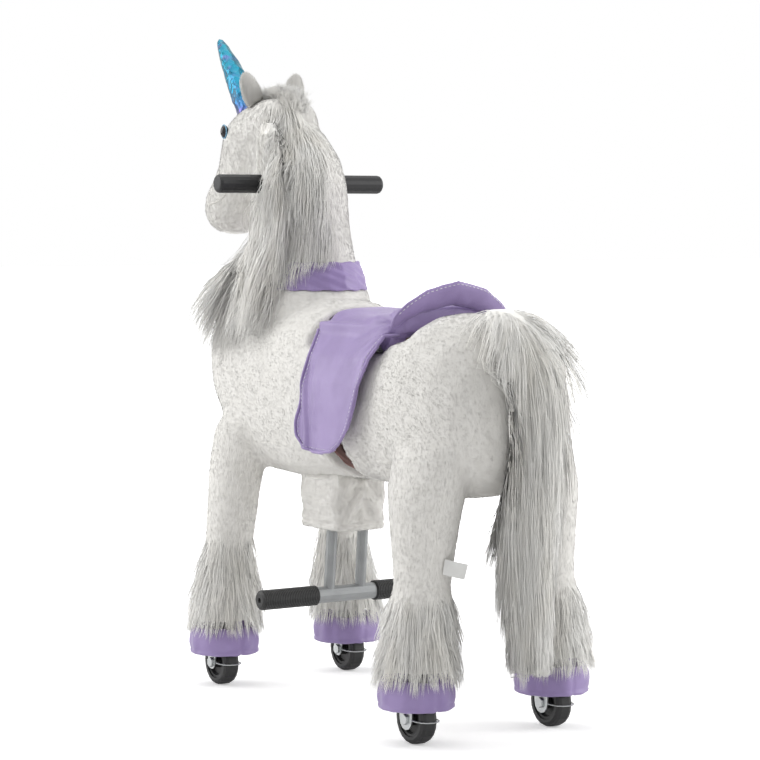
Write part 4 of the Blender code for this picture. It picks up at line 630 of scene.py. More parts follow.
LOOKS = {
    "pile": pile_look("plush_pile", PILE_WHITE, PILE_SHADE, 90.0),
    "pile_fibre": pile_look("plush_fibre", PILE_WHITE, PILE_SHADE, 170.0),
    "hair": hair_look(),
    "lilac": lilac_look("lilac_cloth"),
    "piping": lilac_look("lilac_piping", 0.0003, 0.0004),
    "brown": velvet_look(),
    "thread": plain_look("white_thread", THREAD_WHITE, 0.7),
    "grey": plain_look("grey_powder_coat", GREY_TUBE, 0.38, 0.35),
    "pedal_rubber": ribbed_look("ribbed_pedal_rubber", RUBBER_BLACK, 110.0, 0.5),
    "grip_rubber": plain_look("grip_rubber", (0.009, 0.009, 0.010), 0.5, grain=900.0),
    "tyre": plain_look("tyre_rubber", (0.018, 0.018, 0.018), 0.45),
    "hub": plain_look("hub_plastic", (0.02, 0.02, 0.02), 0.4),
    "zinc": plain_look("zinc_plate", (0.62, 0.64, 0.64), 0.3, 1.0),
    "steel": plain_look("spring_steel", (0.35, 0.35, 0.36), 0.35, 1.0),
    "wood": plain_look("plywood", (0.52, 0.36, 0.20), 0.6),
    "seam": plain_look("seam_thread", (0.72, 0.70, 0.66), 0.8),
    "tape": plain_look("woven_tape", (0.80, 0.80, 0.78), 0.6),
    "eye": plain_look("eye_black", (0.006, 0.006, 0.008), 0.06, spread=0.3),
    "eye_rim": plain_look("eye_rim_blue", (0.16, 0.36, 0.52), 0.15),
    "foil": foil_look(),
}


def finish(item, look):
    item.data.materials.clear()
    item.data.materials.append(LOOKS[look])
    return item


def trim(item, look, body):
    """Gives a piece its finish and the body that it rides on."""
    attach(finish(item, look), body)
    return item


def refinish(node, look):
    """Gives a solid of the frame its material, on the object and not on the mesh."""
    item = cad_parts[node]
    for place in item.material_slots:
        place.link = "OBJECT"
        place.material = LOOKS[look]


# Stage, light and camera


def build_stage():
    """A plain pale floor that fades into the white background."""
    shape = bmesh.new()
    bmesh.ops.create_grid(shape, x_segments=1, y_segments=1, size=FLOOR_REACH)
    floor = new_object("floor", mesh_from(shape, "floor"))
    look = Look("floor_white", 0.9)
    look.inputs["Base Color"].default_value = (*FLOOR_WHITE, 1.0)
    look.inputs["Specular IOR Level"].default_value = 0.1
    look.inputs["Emission Color"].default_value = (1.0, 1.0, 1.0, 1.0)
    length = look.add("ShaderNodeVectorMath", links={0: look.place})
    length.operation = "LENGTH"
    glow = look.spread(length.outputs["Value"], FLOOR_GLOW_NEAR, FLOOR_GLOW_FAR,
                       FLOOR_GLOW_LEAST, FLOOR_GLOW_MOST)
    rays = look.add("ShaderNodeLightPath").outputs
    seen = look.add("ShaderNodeMath", links={0: glow, 1: rays["Is Camera Ray"]})
    seen.operation = "MULTIPLY"
    look.links.new(seen.outputs["Value"], look.inputs["Emission Strength"])
    floor.data.materials.append(look.material)
    floor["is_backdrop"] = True


def build_world():
    """Soft light from all round, in front of a white background."""
    world = bpy.data.worlds.new("studio")
    bpy.context.scene.world = world
    world.use_nodes = True
    tree = world.node_tree
    back = tree.nodes["Background"]
    back.inputs["Color"].default_value = (1.0, 1.0, 1.0, 1.0)
    rays = tree.nodes.new("ShaderNodeLightPath").outputs
    seen = rays["Is Camera Ray"]
    for kind in ("Is Glossy Ray", "Is Transmission Ray"):
        either = new_node(tree, "ShaderNodeMath", links={0: seen, 1: rays[kind]})
        either.operation = "MAXIMUM"
        seen = either.outputs["Value"]
    level = new_node(tree, "ShaderNodeMapRange", {"To Min": WORLD_STRENGTH, "To Max": 1.0}, {"Value": seen})
    tree.links.new(level.outputs["Result"], back.inputs["Strength"])


def build_lights():
    for name, place, size, power in LAMPS:
        data = bpy.data.lights.new(name, "AREA")
        data.shape = "RECTANGLE"
        data.size, data.size_y = size
        data.energy = power
        lamp = new_object(name, data)
        lamp.location = place
        lamp.rotation_euler = (Vector(LAMP_AIM) - Vector(place)).to_track_quat("-Z", "Y").to_euler()


def build_camera():
    """The photograph's own camera."""
    data = bpy.data.cameras.new("photo_camera")
    data.lens = CAMERA_LENS_MM
    data.sensor_width = CAMERA_SENSOR_MM
    camera = new_object("photo_camera", data)
    level = math.cos(CAMERA_ELEVATION)
    back = Vector((math.sin(CAMERA_AZIMUTH) * level, -math.cos(CAMERA_AZIMUTH) * level,
                   math.sin(CAMERA_ELEVATION)))
    camera.location = CAMERA_TARGET + back * CAMERA_DISTANCE
    camera.rotation_euler = (-back).to_track_quat("-Z", "Y").to_euler()
    bpy.context.scene.camera = camera


# Soft pieces


def crumple(points, size, seed=0.0):
    """A smooth uneven swell between about -1 and 1, with bumps of this size."""
    x, y, z = (points / size * 2 * math.pi).T
    return (
        np.sin(x * 0.9 + 1.7 * np.sin(y * 0.6 + seed) + seed)
        + np.sin(y * 1.1 + 1.5 * np.sin(z * 0.7 + seed * 2))
        + np.sin(z * 0.8 + 1.6 * np.sin(x * 0.8 + seed * 3))
    ) / 3


def soft(item, look):
    finish(item, look)
    return item


def split_rear_y(points):
    return SPLIT_REAR_Y - np.maximum(SPLIT_SLANT_TOP_Z - points[:, 2], 0) * SPLIT_SLANT


def above_split_foot(points):
    return step_share(points[:, 2], SPLIT_LOW_Z, 0.30)


def near_split(points):
    """1 at the faces of the split between the halves, 0 away from it."""
    reach = np.minimum(np.abs(points[:, 1] - SPLIT_FRONT_Y), np.abs(points[:, 1] - split_rear_y(points)))
    return (1 - step_share(reach, 0.006, 0.016)) * above_split_foot(points)


def leg_core_inset(top_z):
    """How far a half's skin is drawn in, more so where long hair grows below top_z."""
    def depth(points):
        lower = step_share(top_z - points[:, 2], 0.0, 0.05)
        return PILE_INSET * (1 - near_split(points)) + 0.007 * lower
    return depth


def build_skins():
    """The plush skins of the two halves, and of the neck and head."""
    made = {}
    for place, trunk, opening in (
        ("front", "chest_body", -SPLIT_FRONT_OPENING), ("rear", "rump_body", SPLIT_REAR_OPENING)
    ):
        nodes = (trunk, f"{place}_leg_left", f"{place}_leg_right")
        item = skin(f"{place}_half_skin", nodes, f"{place}_half", 0.0042, 12,
                    inset=leg_core_inset(FEATHER_TOP_Z[place]), hold=near_split)
        # The lower split is opened a little, so that the liner shows
        points = points_of(item.data)
        edge = SPLIT_FRONT_Y if place == "front" else split_rear_y(points)
        mask = 1 - step_share(np.abs(points[:, 1] - edge), 0.006, 0.022)
        mask = mask * step_share(SPLIT_OPEN_Z - points[:, 2], 0.0, 0.03) * above_split_foot(points)
        points[:, 1] += mask * opening
        set_points(item.data, points)
        made[place] = item
    made["neck"] = skin("neck_and_head_skin", ("neck_body", "head"), "neck", 0.004, 10, inset=PILE_INSET)
    # The neck goes down inside the collar, and the brow is full
    points = points_of(made["neck"].data)
    points[:, 2] -= 0.014 * step_share(0.630 - points[:, 2], 0.0, 0.012)
    brow = step_share(points[:, 2], 0.775, 0.845) * step_share(-points[:, 1], 0.250, 0.315)
    points += normals_of(made["neck"].data) * (BROW_FULLNESS * brow)[:, None]
    set_points(made["neck"].data, points)
    for item in made.values():
        soft(item, "pile")
    return made


def open_pile(points, facing):
    """Where short pile grows on the two halves: not in the hollow or on the faces that meet."""
    inside = np.all((points > CAVITY_LOW) & (points < CAVITY_HIGH), axis=1)
    y, z = points[:, 1], points[:, 2]
    front_face = (np.abs(y - SPLIT_FRONT_Y) < 0.012) & (facing[:, 1] > 0.6) & (z > 0.3)
    rear_face = (y > 0.02) & (y < 0.12) & (facing[:, 1] < -0.6) & (z > 0.3)
    shelf = (facing[:, 2] > 0.8) & (np.abs(z - SHELF_Z) < 0.012)
    gap = (y > 0.040) & (y < split_rear_y(points) + 0.004) & (z < 0.5)
    return ~(inside | front_face | rear_face | shelf | gap)


def body_flow(points):
    """Which way the short pile of the halves lies: back along the body and down the legs."""
    lower = step_share(0.44 - points[:, 2], 0.0, 0.12)[:, None]
    lower = np.maximum(lower, (step_share(points[:, 1], 0.0, 0.03) * (points[:, 1] < 0.05))[:, None])
    return unit((1 - lower) * np.array((0.0, 0.75, -0.65)) + lower * DOWN)


def neck_flow(points):
    """Which way the short pile of the neck and head lies."""
    head = step_share(points[:, 2], 0.80, 0.85)[:, None]
    ahead = step_share(-points[:, 1], 0.27, 0.33)[:, None] * head
    return unit((1 - ahead) * np.array((0.0, 0.30, -0.95)) + ahead * np.array((0.0, 0.95, 0.30)))


def build_pile(skins, cover):
    """Short pile on the halves, clear of the saddle, and on the neck, clear of collar and handlebar."""
    around = (tree_of(cover.data),)
    for place, top_z in FEATHER_TOP_Z.items():
        pile(f"{place}_half_pile", skins[place], f"{place}_half", PILE_COUNT, body_flow,
             lambda p: PILE_LENGTH * (1 - 0.1 * step_share(top_z - p[:, 2], 0, 0.03)), PILE_LEAN,
             lambda p, n: open_pile(p, n) & (p[:, 2] > top_z - 0.03), around, COVER_CLEARANCE)

    def open_neck(points, facing):
        off_bar = np.linalg.norm(points[:, 1:] - HANDLE_PLACE, axis=1) > HANDLE_CLEARANCE
        return (points[:, 2] > 0.628) & (facing[:, 2] > -0.9) & off_bar

    collar = tree_of(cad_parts["neck_collar"].data)
    pile("neck_and_head_pile", skins["neck"], "neck", PILE_COUNT, neck_flow, NECK_PILE_LENGTH, PILE_LEAN,
         open_neck, (collar,), COLLAR_CLEARANCE)


def build_feathers(skins):
    """Long hair round the lower legs, down over the tops of the hooves."""
    for place, top_z in FEATHER_TOP_Z.items():
        for side, way in SIDES:
            core = skins[place].data
            tree = tree_of(joined_copy("guide", (f"{place}_hoof_{side}",), (core,)))
            region = lambda p, n: (
                (p[:, 0] * way > 0.03) & (p[:, 2] < top_z) & (p[:, 2] > 0.098) & (n[:, 2] > -0.5)
            )
            places, facing = scatter(core, FEATHER_HAIRS, region)
            flow = combed(DOWN, facing, 0.13)
            lower = step_share(0.135 - places[:, 2], 0.0, 0.03)
            length = random.uniform(0.042, 0.066, len(places)) * (1 - 0.42 * lower)
            lift = random.uniform(0.002, 0.0085, len(places))
            paths = comb(tree, places - facing * HAIR_ROOT_DEPTH, flow, length, 6, lift, 0.18)
            paths = locks(paths, 11, 0.40, 0.0020, 0.8)
            paths[:, :, 2] = np.maximum(paths[:, :, 2], 0.056)
            hair_on(f"{place}_half", f"{place}_feather_{side}", paths, facing)


def build_tail():
    """The tail: a slim core under two layers of long hair."""
    core = skin("tail_core", ("tail",), "rear_half", 0.004, 8,
                inset=lambda p: TAIL_CORE_INSET + TAIL_SLIMMING * step_share(0.545 - p[:, 2], 0.0, 0.07))
    soft(core, "hair")
    tree = tree_of(core.data)
    for number, (low_z, high_z, count, straight) in enumerate(TAIL_LAYERS):
        region = lambda p, n: (p[:, 2] > low_z) & (p[:, 2] < high_z)
        places, facing = scatter(core.data, count, region)
        flow = combed(np.array((-0.05, 0.05, -1.0)), facing, 0.07)
        top = step_share(places[:, 2], 0.52, 0.58)
        length = random.uniform(0.10, 0.16, count) * (1 - 0.4 * top)
        length = np.minimum(length, np.maximum(places[:, 2] - 0.075, 0.02))
        lift = random.uniform(0.001, 0.006, count) + 0.006 * top
        paths = comb(tree, places - facing * HAIR_ROOT_DEPTH, flow, length, 7, lift, 0.16)
        paths, facing = hanging(paths, facing, length, straight)
        paths = locks(paths, 16, 0.36, 0.0026, 0.8)
        paths[:, :, 1] -= np.maximum(paths[:, :, 1] - TAIL_REACH_Y, 0) * 0.6
        hair_on("rear_half", f"tail_hair_{number + 1}", paths, facing)


def cheek_edge(points):
    """Where the mane ends behind the cheek, measured across from the middle of the toy."""
    edge = -0.176 - 0.054 * step_share(0.675 - points[:, 2], 0.0, 0.06)
    return edge + 0.006 * step_share(points[:, 2], 0.835, 0.870)


def build_mane(skins):
    """The mane on the left of the neck, its ends over the shoulder, and the crest between the ears."""
    neck = skins["neck"].data
    core = skin("mane_core", ("mane",), "neck", 0.004, 8, inset=MANE_CORE_INSET)
    points = points_of(core.data)
    ahead = np.maximum(cheek_edge(points) - 0.005 - across_view(points), 0)
    ahead = ahead * step_share(points[:, 2], 0.645, 0.675)
    points[:, 0] -= np.minimum(ahead / -ACROSS_X, np.maximum(points[:, 0] - 0.004, 0))
    set_points(core.data, points)
    relax(core.data, 4)
    soft(core, "hair")
    tree, neck_tree = tree_of(joined_copy("guide", ("neck_collar",), (core.data, neck))), tree_of(neck)

    def mane_flow(p):
        sweep = step_share(0.700 - p[:, 2], 0.0, 0.08)[:, None]
        return (1 - sweep) * np.array((0.05, 0.05, -1.0)) + sweep * np.array((0.20, -0.26, -1.0))

    def outer(p, n):
        return (n[:, 0] > -0.35) & (p[:, 2] > 0.60) & (across_view(p) > cheek_edge(p))

    def back(p, n):
        across = across_view(p)
        within = (across > cheek_edge(p)) & (across < np.interp(p[:, 2], *MANE_BACK_EDGE))
        height = (p[:, 2] > 0.665) & (p[:, 2] < 0.885)
        outside = (n[:, 0] * 0.62 + n[:, 1] * 0.78 > 0.12) & (p[:, 0] > -0.036) & (p[:, 1] > -0.275)
        return within & height & outside

    for number in range(MANE_PIECES):
        places, facing = scatter(core.data, MANE_CORE_HAIRS, outer)
        keep = distances(neck_tree, places, 0.02) > 0.004
        more, ways = scatter(neck, MANE_NECK_HAIRS, back)
        places, facing = np.concatenate([places[keep], more]), np.concatenate([facing[keep], ways])
        flow = combed(mane_flow(places), facing, 0.10)
        length = random.uniform(0.065, 0.115, len(places))
        behind = step_share(across_view(places), -0.125, -0.092)
        over = places[:, 2] - 0.625 + 0.060 * (1 - behind)
        length = np.minimum(length, over * random.uniform(0.72, 1.05, len(places)))
        lift = random.uniform(0.0015, 0.0075, len(places))
        paths = comb(tree, places - facing * HAIR_ROOT_DEPTH, flow, length, 7, lift, 0.16)
        paths, facing = hanging(paths, facing, length)
        hair_on("neck", f"mane_hair_{number + 1}", locks(paths, 15, 0.36, 0.0034, 1.0), facing)
    # Hair that falls from the mane over the collar and the shoulder
    tree = tree_of(joined_copy("guide", ("neck_collar",), (core.data, skins["front"].data, neck)))
    low = lambda p, n: (n[:, 0] > 0.0) & (p[:, 2] > 0.612) & (p[:, 2] < 0.73)
    places, facing = scatter(core.data, MANE_END_HAIRS, low)
    flow = combed(np.array((0.16, -0.24, -1.0)), facing, 0.10)
    forward = step_share(-places[:, 1], 0.17, 0.24)
    length = (places[:, 2] - 0.60) + random.uniform(0.040, 0.140, len(places)) * (0.70 + 0.30 * forward)
    lift = random.uniform(0.004, 0.012, len(places))
    paths = comb(tree, places - facing * HAIR_ROOT_DEPTH, flow, length, 8, lift, 0.12)
    paths, facing = hanging(paths, facing, length, 0.7)
    item = finish(hair("mane_ends", locks(paths, 16, 0.45, 0.0045, 1.0), facing), "hair")
    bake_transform(item)
    # Crest between the ears
    crest = lambda p, n: (
        (np.abs(p[:, 0]) < 0.020) & (p[:, 2] > 0.868) & (p[:, 1] > -0.300) & (n[:, 2] > 0.2)
    )
    places, facing = scatter(neck, CREST_HAIRS, crest)
    flow = unit(np.array((0.15, 0.25, 1.0)) + random.normal(size=places.shape) * 0.35)
    length, lift = random.uniform(0.014, 0.026, CREST_HAIRS), np.full(CREST_HAIRS, 0.002)
    paths = comb(neck_tree, places, flow, length, 5, lift, 0.10)
    hair_on("neck", "crest_hair", locks(paths, 12, 0.4, 0.003, 0.6), facing)


# Saddle

FLAP_TOP_Z = 0.5503
FLAP_DROP = 0.174
# Share of the flap's drop, and where its front and rear edges are there
FLAP_EDGES = (
    (0.00, 0.009, 0.210), (0.20, 0.022, 0.202), (0.40, 0.024, 0.194), (0.60, 0.016, 0.182),
    (0.75, 0.007, 0.168), (0.87, 0.011, 0.148), (0.95, 0.028, 0.124), (1.00, 0.056, 0.090),
)


def block_mesh(low, high):
    shape = bmesh.new()
    size = Vector(high) - Vector(low)
    bmesh.ops.create_cube(shape, size=1.0, matrix=Matrix.Translation((Vector(low) + Vector(high)) / 2)
                          @ Matrix.Diagonal((*size, 1.0)))
    return mesh_from(shape, "bridge")


def block_pair(low, high):
    """A block on the left and its mirror image on the right."""
    return block_mesh(low, high), block_mesh((-high[0], *low[1:]), (-low[0], *high[1:]))


def lengths_along(path):
    """How far each point of a path is from its start, along it."""
    return np.concatenate([[0], np.cumsum(np.linalg.norm(np.diff(path, axis=0), axis=1))])


def eased(path, rounds):
    """A path with its corners rounded."""
    for _ in range(rounds):
        path[1:-1] += (path[:-2] + path[2:] - 2 * path[1:-1]) * 0.4
    return path


def ringed_mesh(name, rings, ends):
    """A closed mesh from rings of points one after another, with a point at each end."""
    count, sides = rings.shape[:2]
    turn = [(s, (s + 1) % sides) for s in range(sides)]
    last, total = (count - 1) * sides, count * sides
    quads = [(r + s, r + t, r + sides + t, r + sides + s) for s, t in turn for r in range(0, last, sides)]
    fans = [fan for s, t in turn for fan in ((t, s, total), (last + s, last + t, total + 1))]
    return mesh_of(name, np.concatenate([rings.reshape(-1, 3), ends]), quads, fans)


def outline_path(inward):
    """The flap's edge from its front top corner, round the bottom, to its rear top corner."""
    rows = np.array(FLAP_EDGES)
    z = FLAP_TOP_Z - FLAP_DROP * rows[:, 0]
    front = np.stack([rows[:, 1] + inward, z], axis=1)
    rear = np.stack([rows[:, 2] - inward, z], axis=1)[::-1]
    loop = np.concatenate([front, rear])
    loop[:, 1] = np.maximum(loop[:, 1], z.min() + inward)
    step = lengths_along(loop)
    fine = np.arange(0, step[-1], 0.0012)
    return eased(np.stack([np.interp(fine, step, loop[:, k]) for k in range(2)], axis=1), 14)


def laid_on(tree, path, way, lift, least=0.06):
    """The path of y and z put on the outside of a cover, on one side of the toy."""
    placed = []
    for y, z in path:
        hit, out, _, _ = tree.ray_cast(Vector((0.3 * way, y, z)), Vector((-way, 0, 0)), 0.26)
        if hit is not None and abs(hit.x) > least:
            placed.append(hit + out * lift)
    return np.array([tuple(place) for place in placed])


def cord_mesh(name, path, radius, sides=8):
    """A closed round cord along a path."""
    ring = ring_round(*frames_along(path, np.array((1.0, 0.2, 0.1))), sides)
    return ringed_mesh(name, path[:, None] + ring * radius, path[[0, -1]])


def stitch_mesh(path, length, gap, radius):
    """A row of thread stitches along a path."""
    step = lengths_along(path)
    starts = np.arange(gap, step[-1] - length, length + gap)
    at = starts[:, None] + np.linspace(0, length, 4)[None]
    paths = np.stack([np.interp(at, step, path[:, k]) for k in range(3)], axis=2)
    return tubes("stitches", paths, np.full((len(paths), 4), radius))


def cover_depth(points):
    """Pleats that spread from the cantle, folds down the flap's front edge and soft unevenness."""
    x, y, z = points.T
    u, w = 0.212 - y, z - 0.566
    r, turn = np.hypot(u, w), np.arctan2(w, u)
    outer = step_share(np.abs(x), 0.045, 0.075)
    pleats = 0.0024 * np.sin(turn * 15) * np.exp(-(((r - 0.045) / 0.035) ** 2)) * outer
    front = y - (0.030 + 0.12 * (0.47 - z))
    folds = 0.0026 * np.cos(front * 2 * math.pi / 0.026) * np.exp(-((front / 0.026) ** 2))
    folds *= step_share(0.53 - z, 0.0, 0.05)
    return pleats + folds + 0.0007 * crumple(points, 0.06, 1.0)


def build_saddle():
    """The lilac cover of seat and flaps, and the cantle, with their piping and stitches."""
    bridges = (*block_pair((0.066, 0.010, 0.533), (0.092, 0.200, 0.562)),
               block_mesh((-0.086, 0.130, 0.5465), (0.086, 0.206, 0.562)),
               *block_pair((0.062, 0.180, 0.518), (0.095, 0.194, 0.556)))
    cover = skin("saddle_cover", ("saddle_seat", "saddle_flap_left", "saddle_flap_right"),
                 "saddle", 0.0024, 7, bridges)
    displace(cover, cover_depth)
    relax(cover.data, 2)
    soft(cover, "lilac")
    tree = tree_of(cover.data)
    for side, way in SIDES:
        edge = laid_on(tree, outline_path(0.0035), way, 0.0006)
        piping = new_object(f"flap_piping_{side}", cord_mesh("piping", edge, 0.0023))
        seam = laid_on(tree, outline_path(0.0085), way, 0.0002)
        thread = new_object(f"flap_stitches_{side}", stitch_mesh(seam, 0.0036, 0.0026, 0.00055))
        trim(piping, "piping", "saddle")
        trim(thread, "thread", "saddle")
    cantle = skin("saddle_cantle_cover", ("saddle_cantle",), "saddle", 0.0021, 6)
    displace(cantle, lambda p: 0.0006 * crumple(p, 0.035, 2.0))
    soft(cantle, "lilac")
    tree = tree_of(cantle.data)
    top = []
    for x in np.linspace(-0.093, 0.093, 94):
        hits = []
        for z in np.arange(0.54, 0.63, 0.0010):
            hit, out, _, _ = tree.ray_cast(Vector((x, 0.40, z)), Vector((0, -1, 0)), 0.3)
            if hit is not None and out.y > 0.35:
                hits.append(hit + out * 0.0003)
        if len(hits) > 12:
            top.append(tuple(hits[-4]))
    row = stitch_mesh(eased(np.array(top), 6), 0.0042, 0.0028, 0.00065)
    trim(new_object("cantle_stitches_top", row), "thread", "saddle")
    return cover


# Hooves, collar, skirt and small pieces


def lathe_mesh(name, centre, profile, sides):
    """A closed turned form from a closed outline of radius and height."""
    turn = np.arange(sides) * 2 * math.pi / sides
    rows = np.array(profile)
    out = np.stack([np.cos(turn), np.sin(turn), np.zeros(sides)], axis=1)
    points = np.array(centre) + out[:, None] * rows[:, :1] + rows[:, 1:] * (0.0, 0.0, 1.0)
    count = len(rows)
    quads = [(s + r, t + r, t + q, s + q)
             for s, t in ((s * count, (s + 1) % sides * count) for s in range(sides))
             for r, q in ((r, (r + 1) % count) for r in range(count))]
    return mesh_of(name, points, quads)


def hoof_outline():
    """Outside of the bell from its hem up, then down its inside."""
    outer = [(0.0480, 0.0008), (0.0500, 0.0000), (0.0518, 0.0014), (0.0522, 0.0042), (0.0510, 0.0066),
             (0.0516, 0.0095), (0.0526, 0.0150), (0.0526, 0.0200), (0.0520, 0.0250), (0.0508, 0.0300),
             (0.0494, 0.0350), (0.0478, 0.0390), (0.0460, 0.0415)]
    inner = [(0.0440, 0.0405), (0.0450, 0.0330), (0.0462, 0.0200), (0.0466, 0.0100), (0.0466, 0.0030)]
    return outer + inner


def build_hooves():
    """Bell hooves of lilac cloth, gathered above the hem and seamed at front and back."""
    for place in ("front", "rear"):
        for side, way in SIDES:
            node = f"{place}_hoof_{side}"
            low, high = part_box(node)
            middle = np.array(((low[0] + high[0]) / 2, (low[1] + high[1]) / 2, low[2]))

            def depth(points):
                local = points - middle
                turn = np.arctan2(local[:, 1], local[:, 0])
                seam = np.exp(-((np.abs(np.abs(turn) - math.pi / 2) / 0.05) ** 2))
                gathers = np.sin(turn * 9 + 2 * np.sin(turn * 2 + way)) * step_share(local[:, 2], 0.0, 0.012)
                return 0.0011 * gathers - 0.0016 * seam + 0.0005 * crumple(points, 0.02, way)

            item = new_object(f"{node}_cloth", lathe_mesh("hoof", middle, hoof_outline(), 96))
            displace(item, depth)
            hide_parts(node)
            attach(item, f"{place}_half")
            soft(item, "lilac")


def skirt_depth(points):
    """Slanting folds, and a stitched hem along the bottom."""
    low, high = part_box("belly_skirt")
    x, y, z = points.T
    hem = np.exp(-(((z - low[2] - 0.0116) / 0.0011) ** 2))
    outer = step_share(np.abs(x), 0.030, 0.038) + step_share(np.abs(y + 0.066), 0.038, 0.05)
    fold = np.sin((z * 0.8 + np.abs(x) * 1.2) * 2 * math.pi / 0.040) * step_share(z - low[2], 0.0, 0.03)
    return 0.0018 * fold * np.minimum(outer, 1) - 0.0016 * hem + 0.0006 * crumple(points, 0.05, 0.5)


def build_small_soft():
    """Collar, belly skirt, the liner behind the split and the ears."""
    collar = skin("neck_collar_cloth", ("neck_collar",), "neck", 0.0022, 4)
    points = points_of(collar.data)
    low = points[:, 2].min()
    points[:, 2] -= 0.009 * (1 - step_share(points[:, 2] - low, 0.002, 0.012))
    set_points(collar.data, points)
    displace(collar, lambda p: 0.0009 * np.sin(np.arctan2(p[:, 1] + 0.2, p[:, 0]) * 26 + 450 * p[:, 2]))
    soft(collar, "lilac")
    low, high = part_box("belly_skirt")
    left, right, front, back = low[0] + 0.004, high[0] - 0.004, low[1] + 0.004, high[1] - 0.004
    walls = [
        block_mesh((x, y, high[2] - 0.012), (far_x, far_y, high[2] + 0.022)) for x, y, far_x, far_y in (
            (left, front, right, front + SKIRT_WALL), (left, back - SKIRT_WALL, right, back),
            (left, front, left + SKIRT_WALL, back), (right - SKIRT_WALL, front, right, back),
        )
    ]
    skirt = skin("belly_skirt_plush", ("belly_skirt",), "front_half", 0.0026, 5, walls)
    displace(skirt, skirt_depth)
    soft(skirt, "pile")
    pile("belly_skirt_pile", skirt, "front_half", SKIRT_PILE_COUNT, DOWN, 0.0034, 1.2)
    liner = skin("split_liner_velvet", ("split_liner",), "saddle", 0.0035, 3)
    displace(liner, lambda p: 0.0007 * crumple(p, 0.03, 4.0))
    soft(liner, "brown")
    for side, way in SIDES:
        ear = skin(f"ear_{side}_plush", (f"ear_{side}",), "neck", 0.0016, 4, inset=0.0012)
        soft(ear, "pile")
        upward = np.array((0.0, 0.1, 1.0))
        pile(f"ear_{side}_pile", ear, "neck", EAR_PILE_COUNT, upward, NECK_PILE_LENGTH, 0.8)


HORN_BASE, HORN_TIP = np.array((0.0, -0.322, 0.853)), np.array((0.0, -0.442, 0.9935))
HORN_RADIUS = 0.0230
# Shares of the horn's length, and of its radius at each
HORN_SHAPE = ((0.0, 0.32, 0.70, 0.88, 0.97, 1.0), (1.0, 0.87, 0.62, 0.41, 0.22, 0.03))


def build_horn():
    """The padded foil horn, with a slight twist, folds and fine crinkles."""
    reach = np.linalg.norm(HORN_TIP - HORN_BASE)
    axis = unit(HORN_TIP - HORN_BASE)
    t = np.linspace(-0.03, 1.0, 70)[:, None]
    turn = (np.arange(72) * 2 * math.pi / 72)[None]
    twist = np.sin(turn * 2 + t * 30) * 0.010
    folds = 0.03 * np.sin(turn * 5 + t * 9 + 1.5 * np.sin(t * 21))
    fine = 0.018 * np.sin(turn * 13 + 2 * np.sin(t * 47) + t * 60)
    spread = HORN_RADIUS * np.interp(t, *HORN_SHAPE)
    spread = spread * (1 + twist + folds + fine * step_share(1 - t, 0.05, 0.2))
    ring = ring_round(axis, np.array((1.0, 0.0, 0.0)), 72)
    rings = (HORN_BASE + axis * t * reach)[:, None] + ring * spread[:, :, None]
    ends = np.array((HORN_BASE - axis * 0.03 * reach, HORN_TIP))
    item = new_object("horn_foil", ringed_mesh("horn_foil", rings, ends))
    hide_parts("horn")
    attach(item, "neck")
    soft(item, "foil")


EYE_SIZE = (0.0062, 0.0074, 0.0098)
# How far the ball and the rim stand out from the solid's middle, and the eye's shift from it
EYE_OUT, EYE_RIM_OUT = 0.0088, 0.0098
EYE_SHIFT = np.array((0.0, 0.0030, -0.0008))


def build_eyes():
    """Black balls in thin blue rims."""
    for side, way in SIDES:
        low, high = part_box(f"eye_{side}")
        middle = (np.array(low) + np.array(high)) / 2 + EYE_SHIFT
        shape = bmesh.new()
        place = Matrix.Translation(middle + (way * EYE_OUT, 0.0, 0.0))
        bmesh.ops.create_uvsphere(shape, u_segments=40, v_segments=24, radius=1.0,
                                  matrix=place @ Matrix.Diagonal((*EYE_SIZE, 1.0)))
        ball = smoothed(new_object(f"eye_ball_{side}", mesh_from(shape, "eye_ball")))
        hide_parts(f"eye_{side}")
        trim(ball, "eye", "neck")
        turn = np.linspace(0, 2 * math.pi, 49)
        out = np.full(49, way * EYE_RIM_OUT)
        path = middle + np.stack([out, 0.0078 * np.cos(turn), 0.0102 * np.sin(turn)], axis=1)
        rim = new_object(f"eye_rim_{side}", cord_mesh("eye_rim", path, 0.0010))
        trim(rim, "eye_rim", "neck")


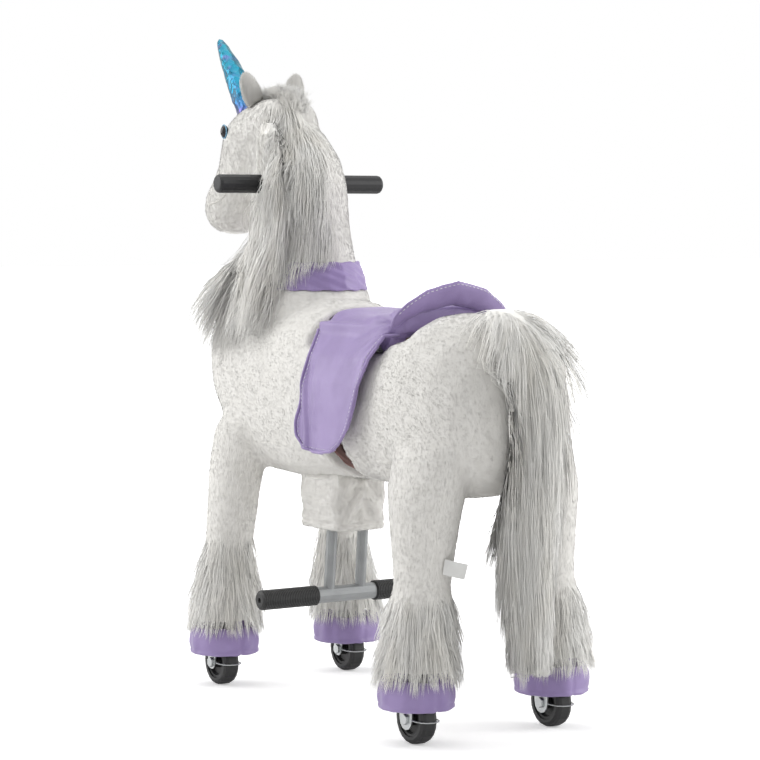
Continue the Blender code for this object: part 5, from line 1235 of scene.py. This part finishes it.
def build_mouth(neck_skin):
    """The stitched line of the mouth on each side of the muzzle."""
    tree = tree_of(neck_skin.data)
    share = np.linspace(0, 1, 60)
    line = np.stack([-0.318 - 0.066 * share, 0.760 - 0.030 * share - 0.006 * np.sin(share * math.pi)], axis=1)
    for side, way in SIDES:
        seam = laid_on(tree, line, way, 0.0008, 0.004)
        item = new_object(f"mouth_seam_{side}", cord_mesh("mouth_seam", seam, 0.0008, 6))
        trim(item, "seam", "neck")


def build_label():
    """The care label, a small woven tape with nothing on it, slightly waved."""
    shape = bmesh.new()
    shape.from_mesh(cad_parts["care_label"].data)
    bmesh.ops.subdivide_edges(shape, edges=shape.edges[:], cuts=5, use_grid_fill=True)
    item = new_object("care_label_tape", mesh_from(shape, "care_label_tape"))
    points = points_of(item.data)
    low, high = points.min(axis=0), points.max(axis=0)
    points[:, 0] += 0.0010 * np.sin((points[:, 1] - low[1]) / (high[1] - low[1]) * 4.0)
    set_points(item.data, points)
    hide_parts("care_label")
    trim(item, "tape", "rear_half")


# The solids that stay as they are, by the material that they get
PLAIN = {
    "grey": ("saddle_frame", "front_leg_frame", "rear_leg_frame", "steering_stem", "handlebar",
             "pedal_frame"),
    "zinc": ("front_pivot_pin", "rear_pivot_pin"),
    "steel": ("return_spring",),
    "wood": ("seat_board",),
    "pedal_rubber": ("pedal_grip_left", "pedal_grip_right"),
    "grip_rubber": ("handle_grip_left", "handle_grip_right"),
}


def build_plain():
    for look, nodes in PLAIN.items():
        for node in nodes:
            refinish(node, look)
    for place in ("front", "rear"):
        for side, _ in SIDES:
            refinish(f"{place}_fork_{side}", "zinc")
            refinish(f"axle_{place}_{side}", "zinc")
            refinish(f"tyre_{place}_{side}", "tyre")
            refinish(f"hub_{place}_{side}", "hub")


build_stage()
build_world()
build_lights()
build_camera()
skins = build_skins()
cover = build_saddle()
build_pile(skins, cover)
build_feathers(skins)
build_tail()
build_mane(skins)
build_hooves()
build_small_soft()
build_horn()
build_eyes()
build_mouth(skins["neck"])
build_label()
build_plain()

bpy.context.scene.view_settings.view_transform = "Standard"
low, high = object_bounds()
{"cad": [list(cad_low), list(cad_high)], "visual": [list(low), list(high)]}
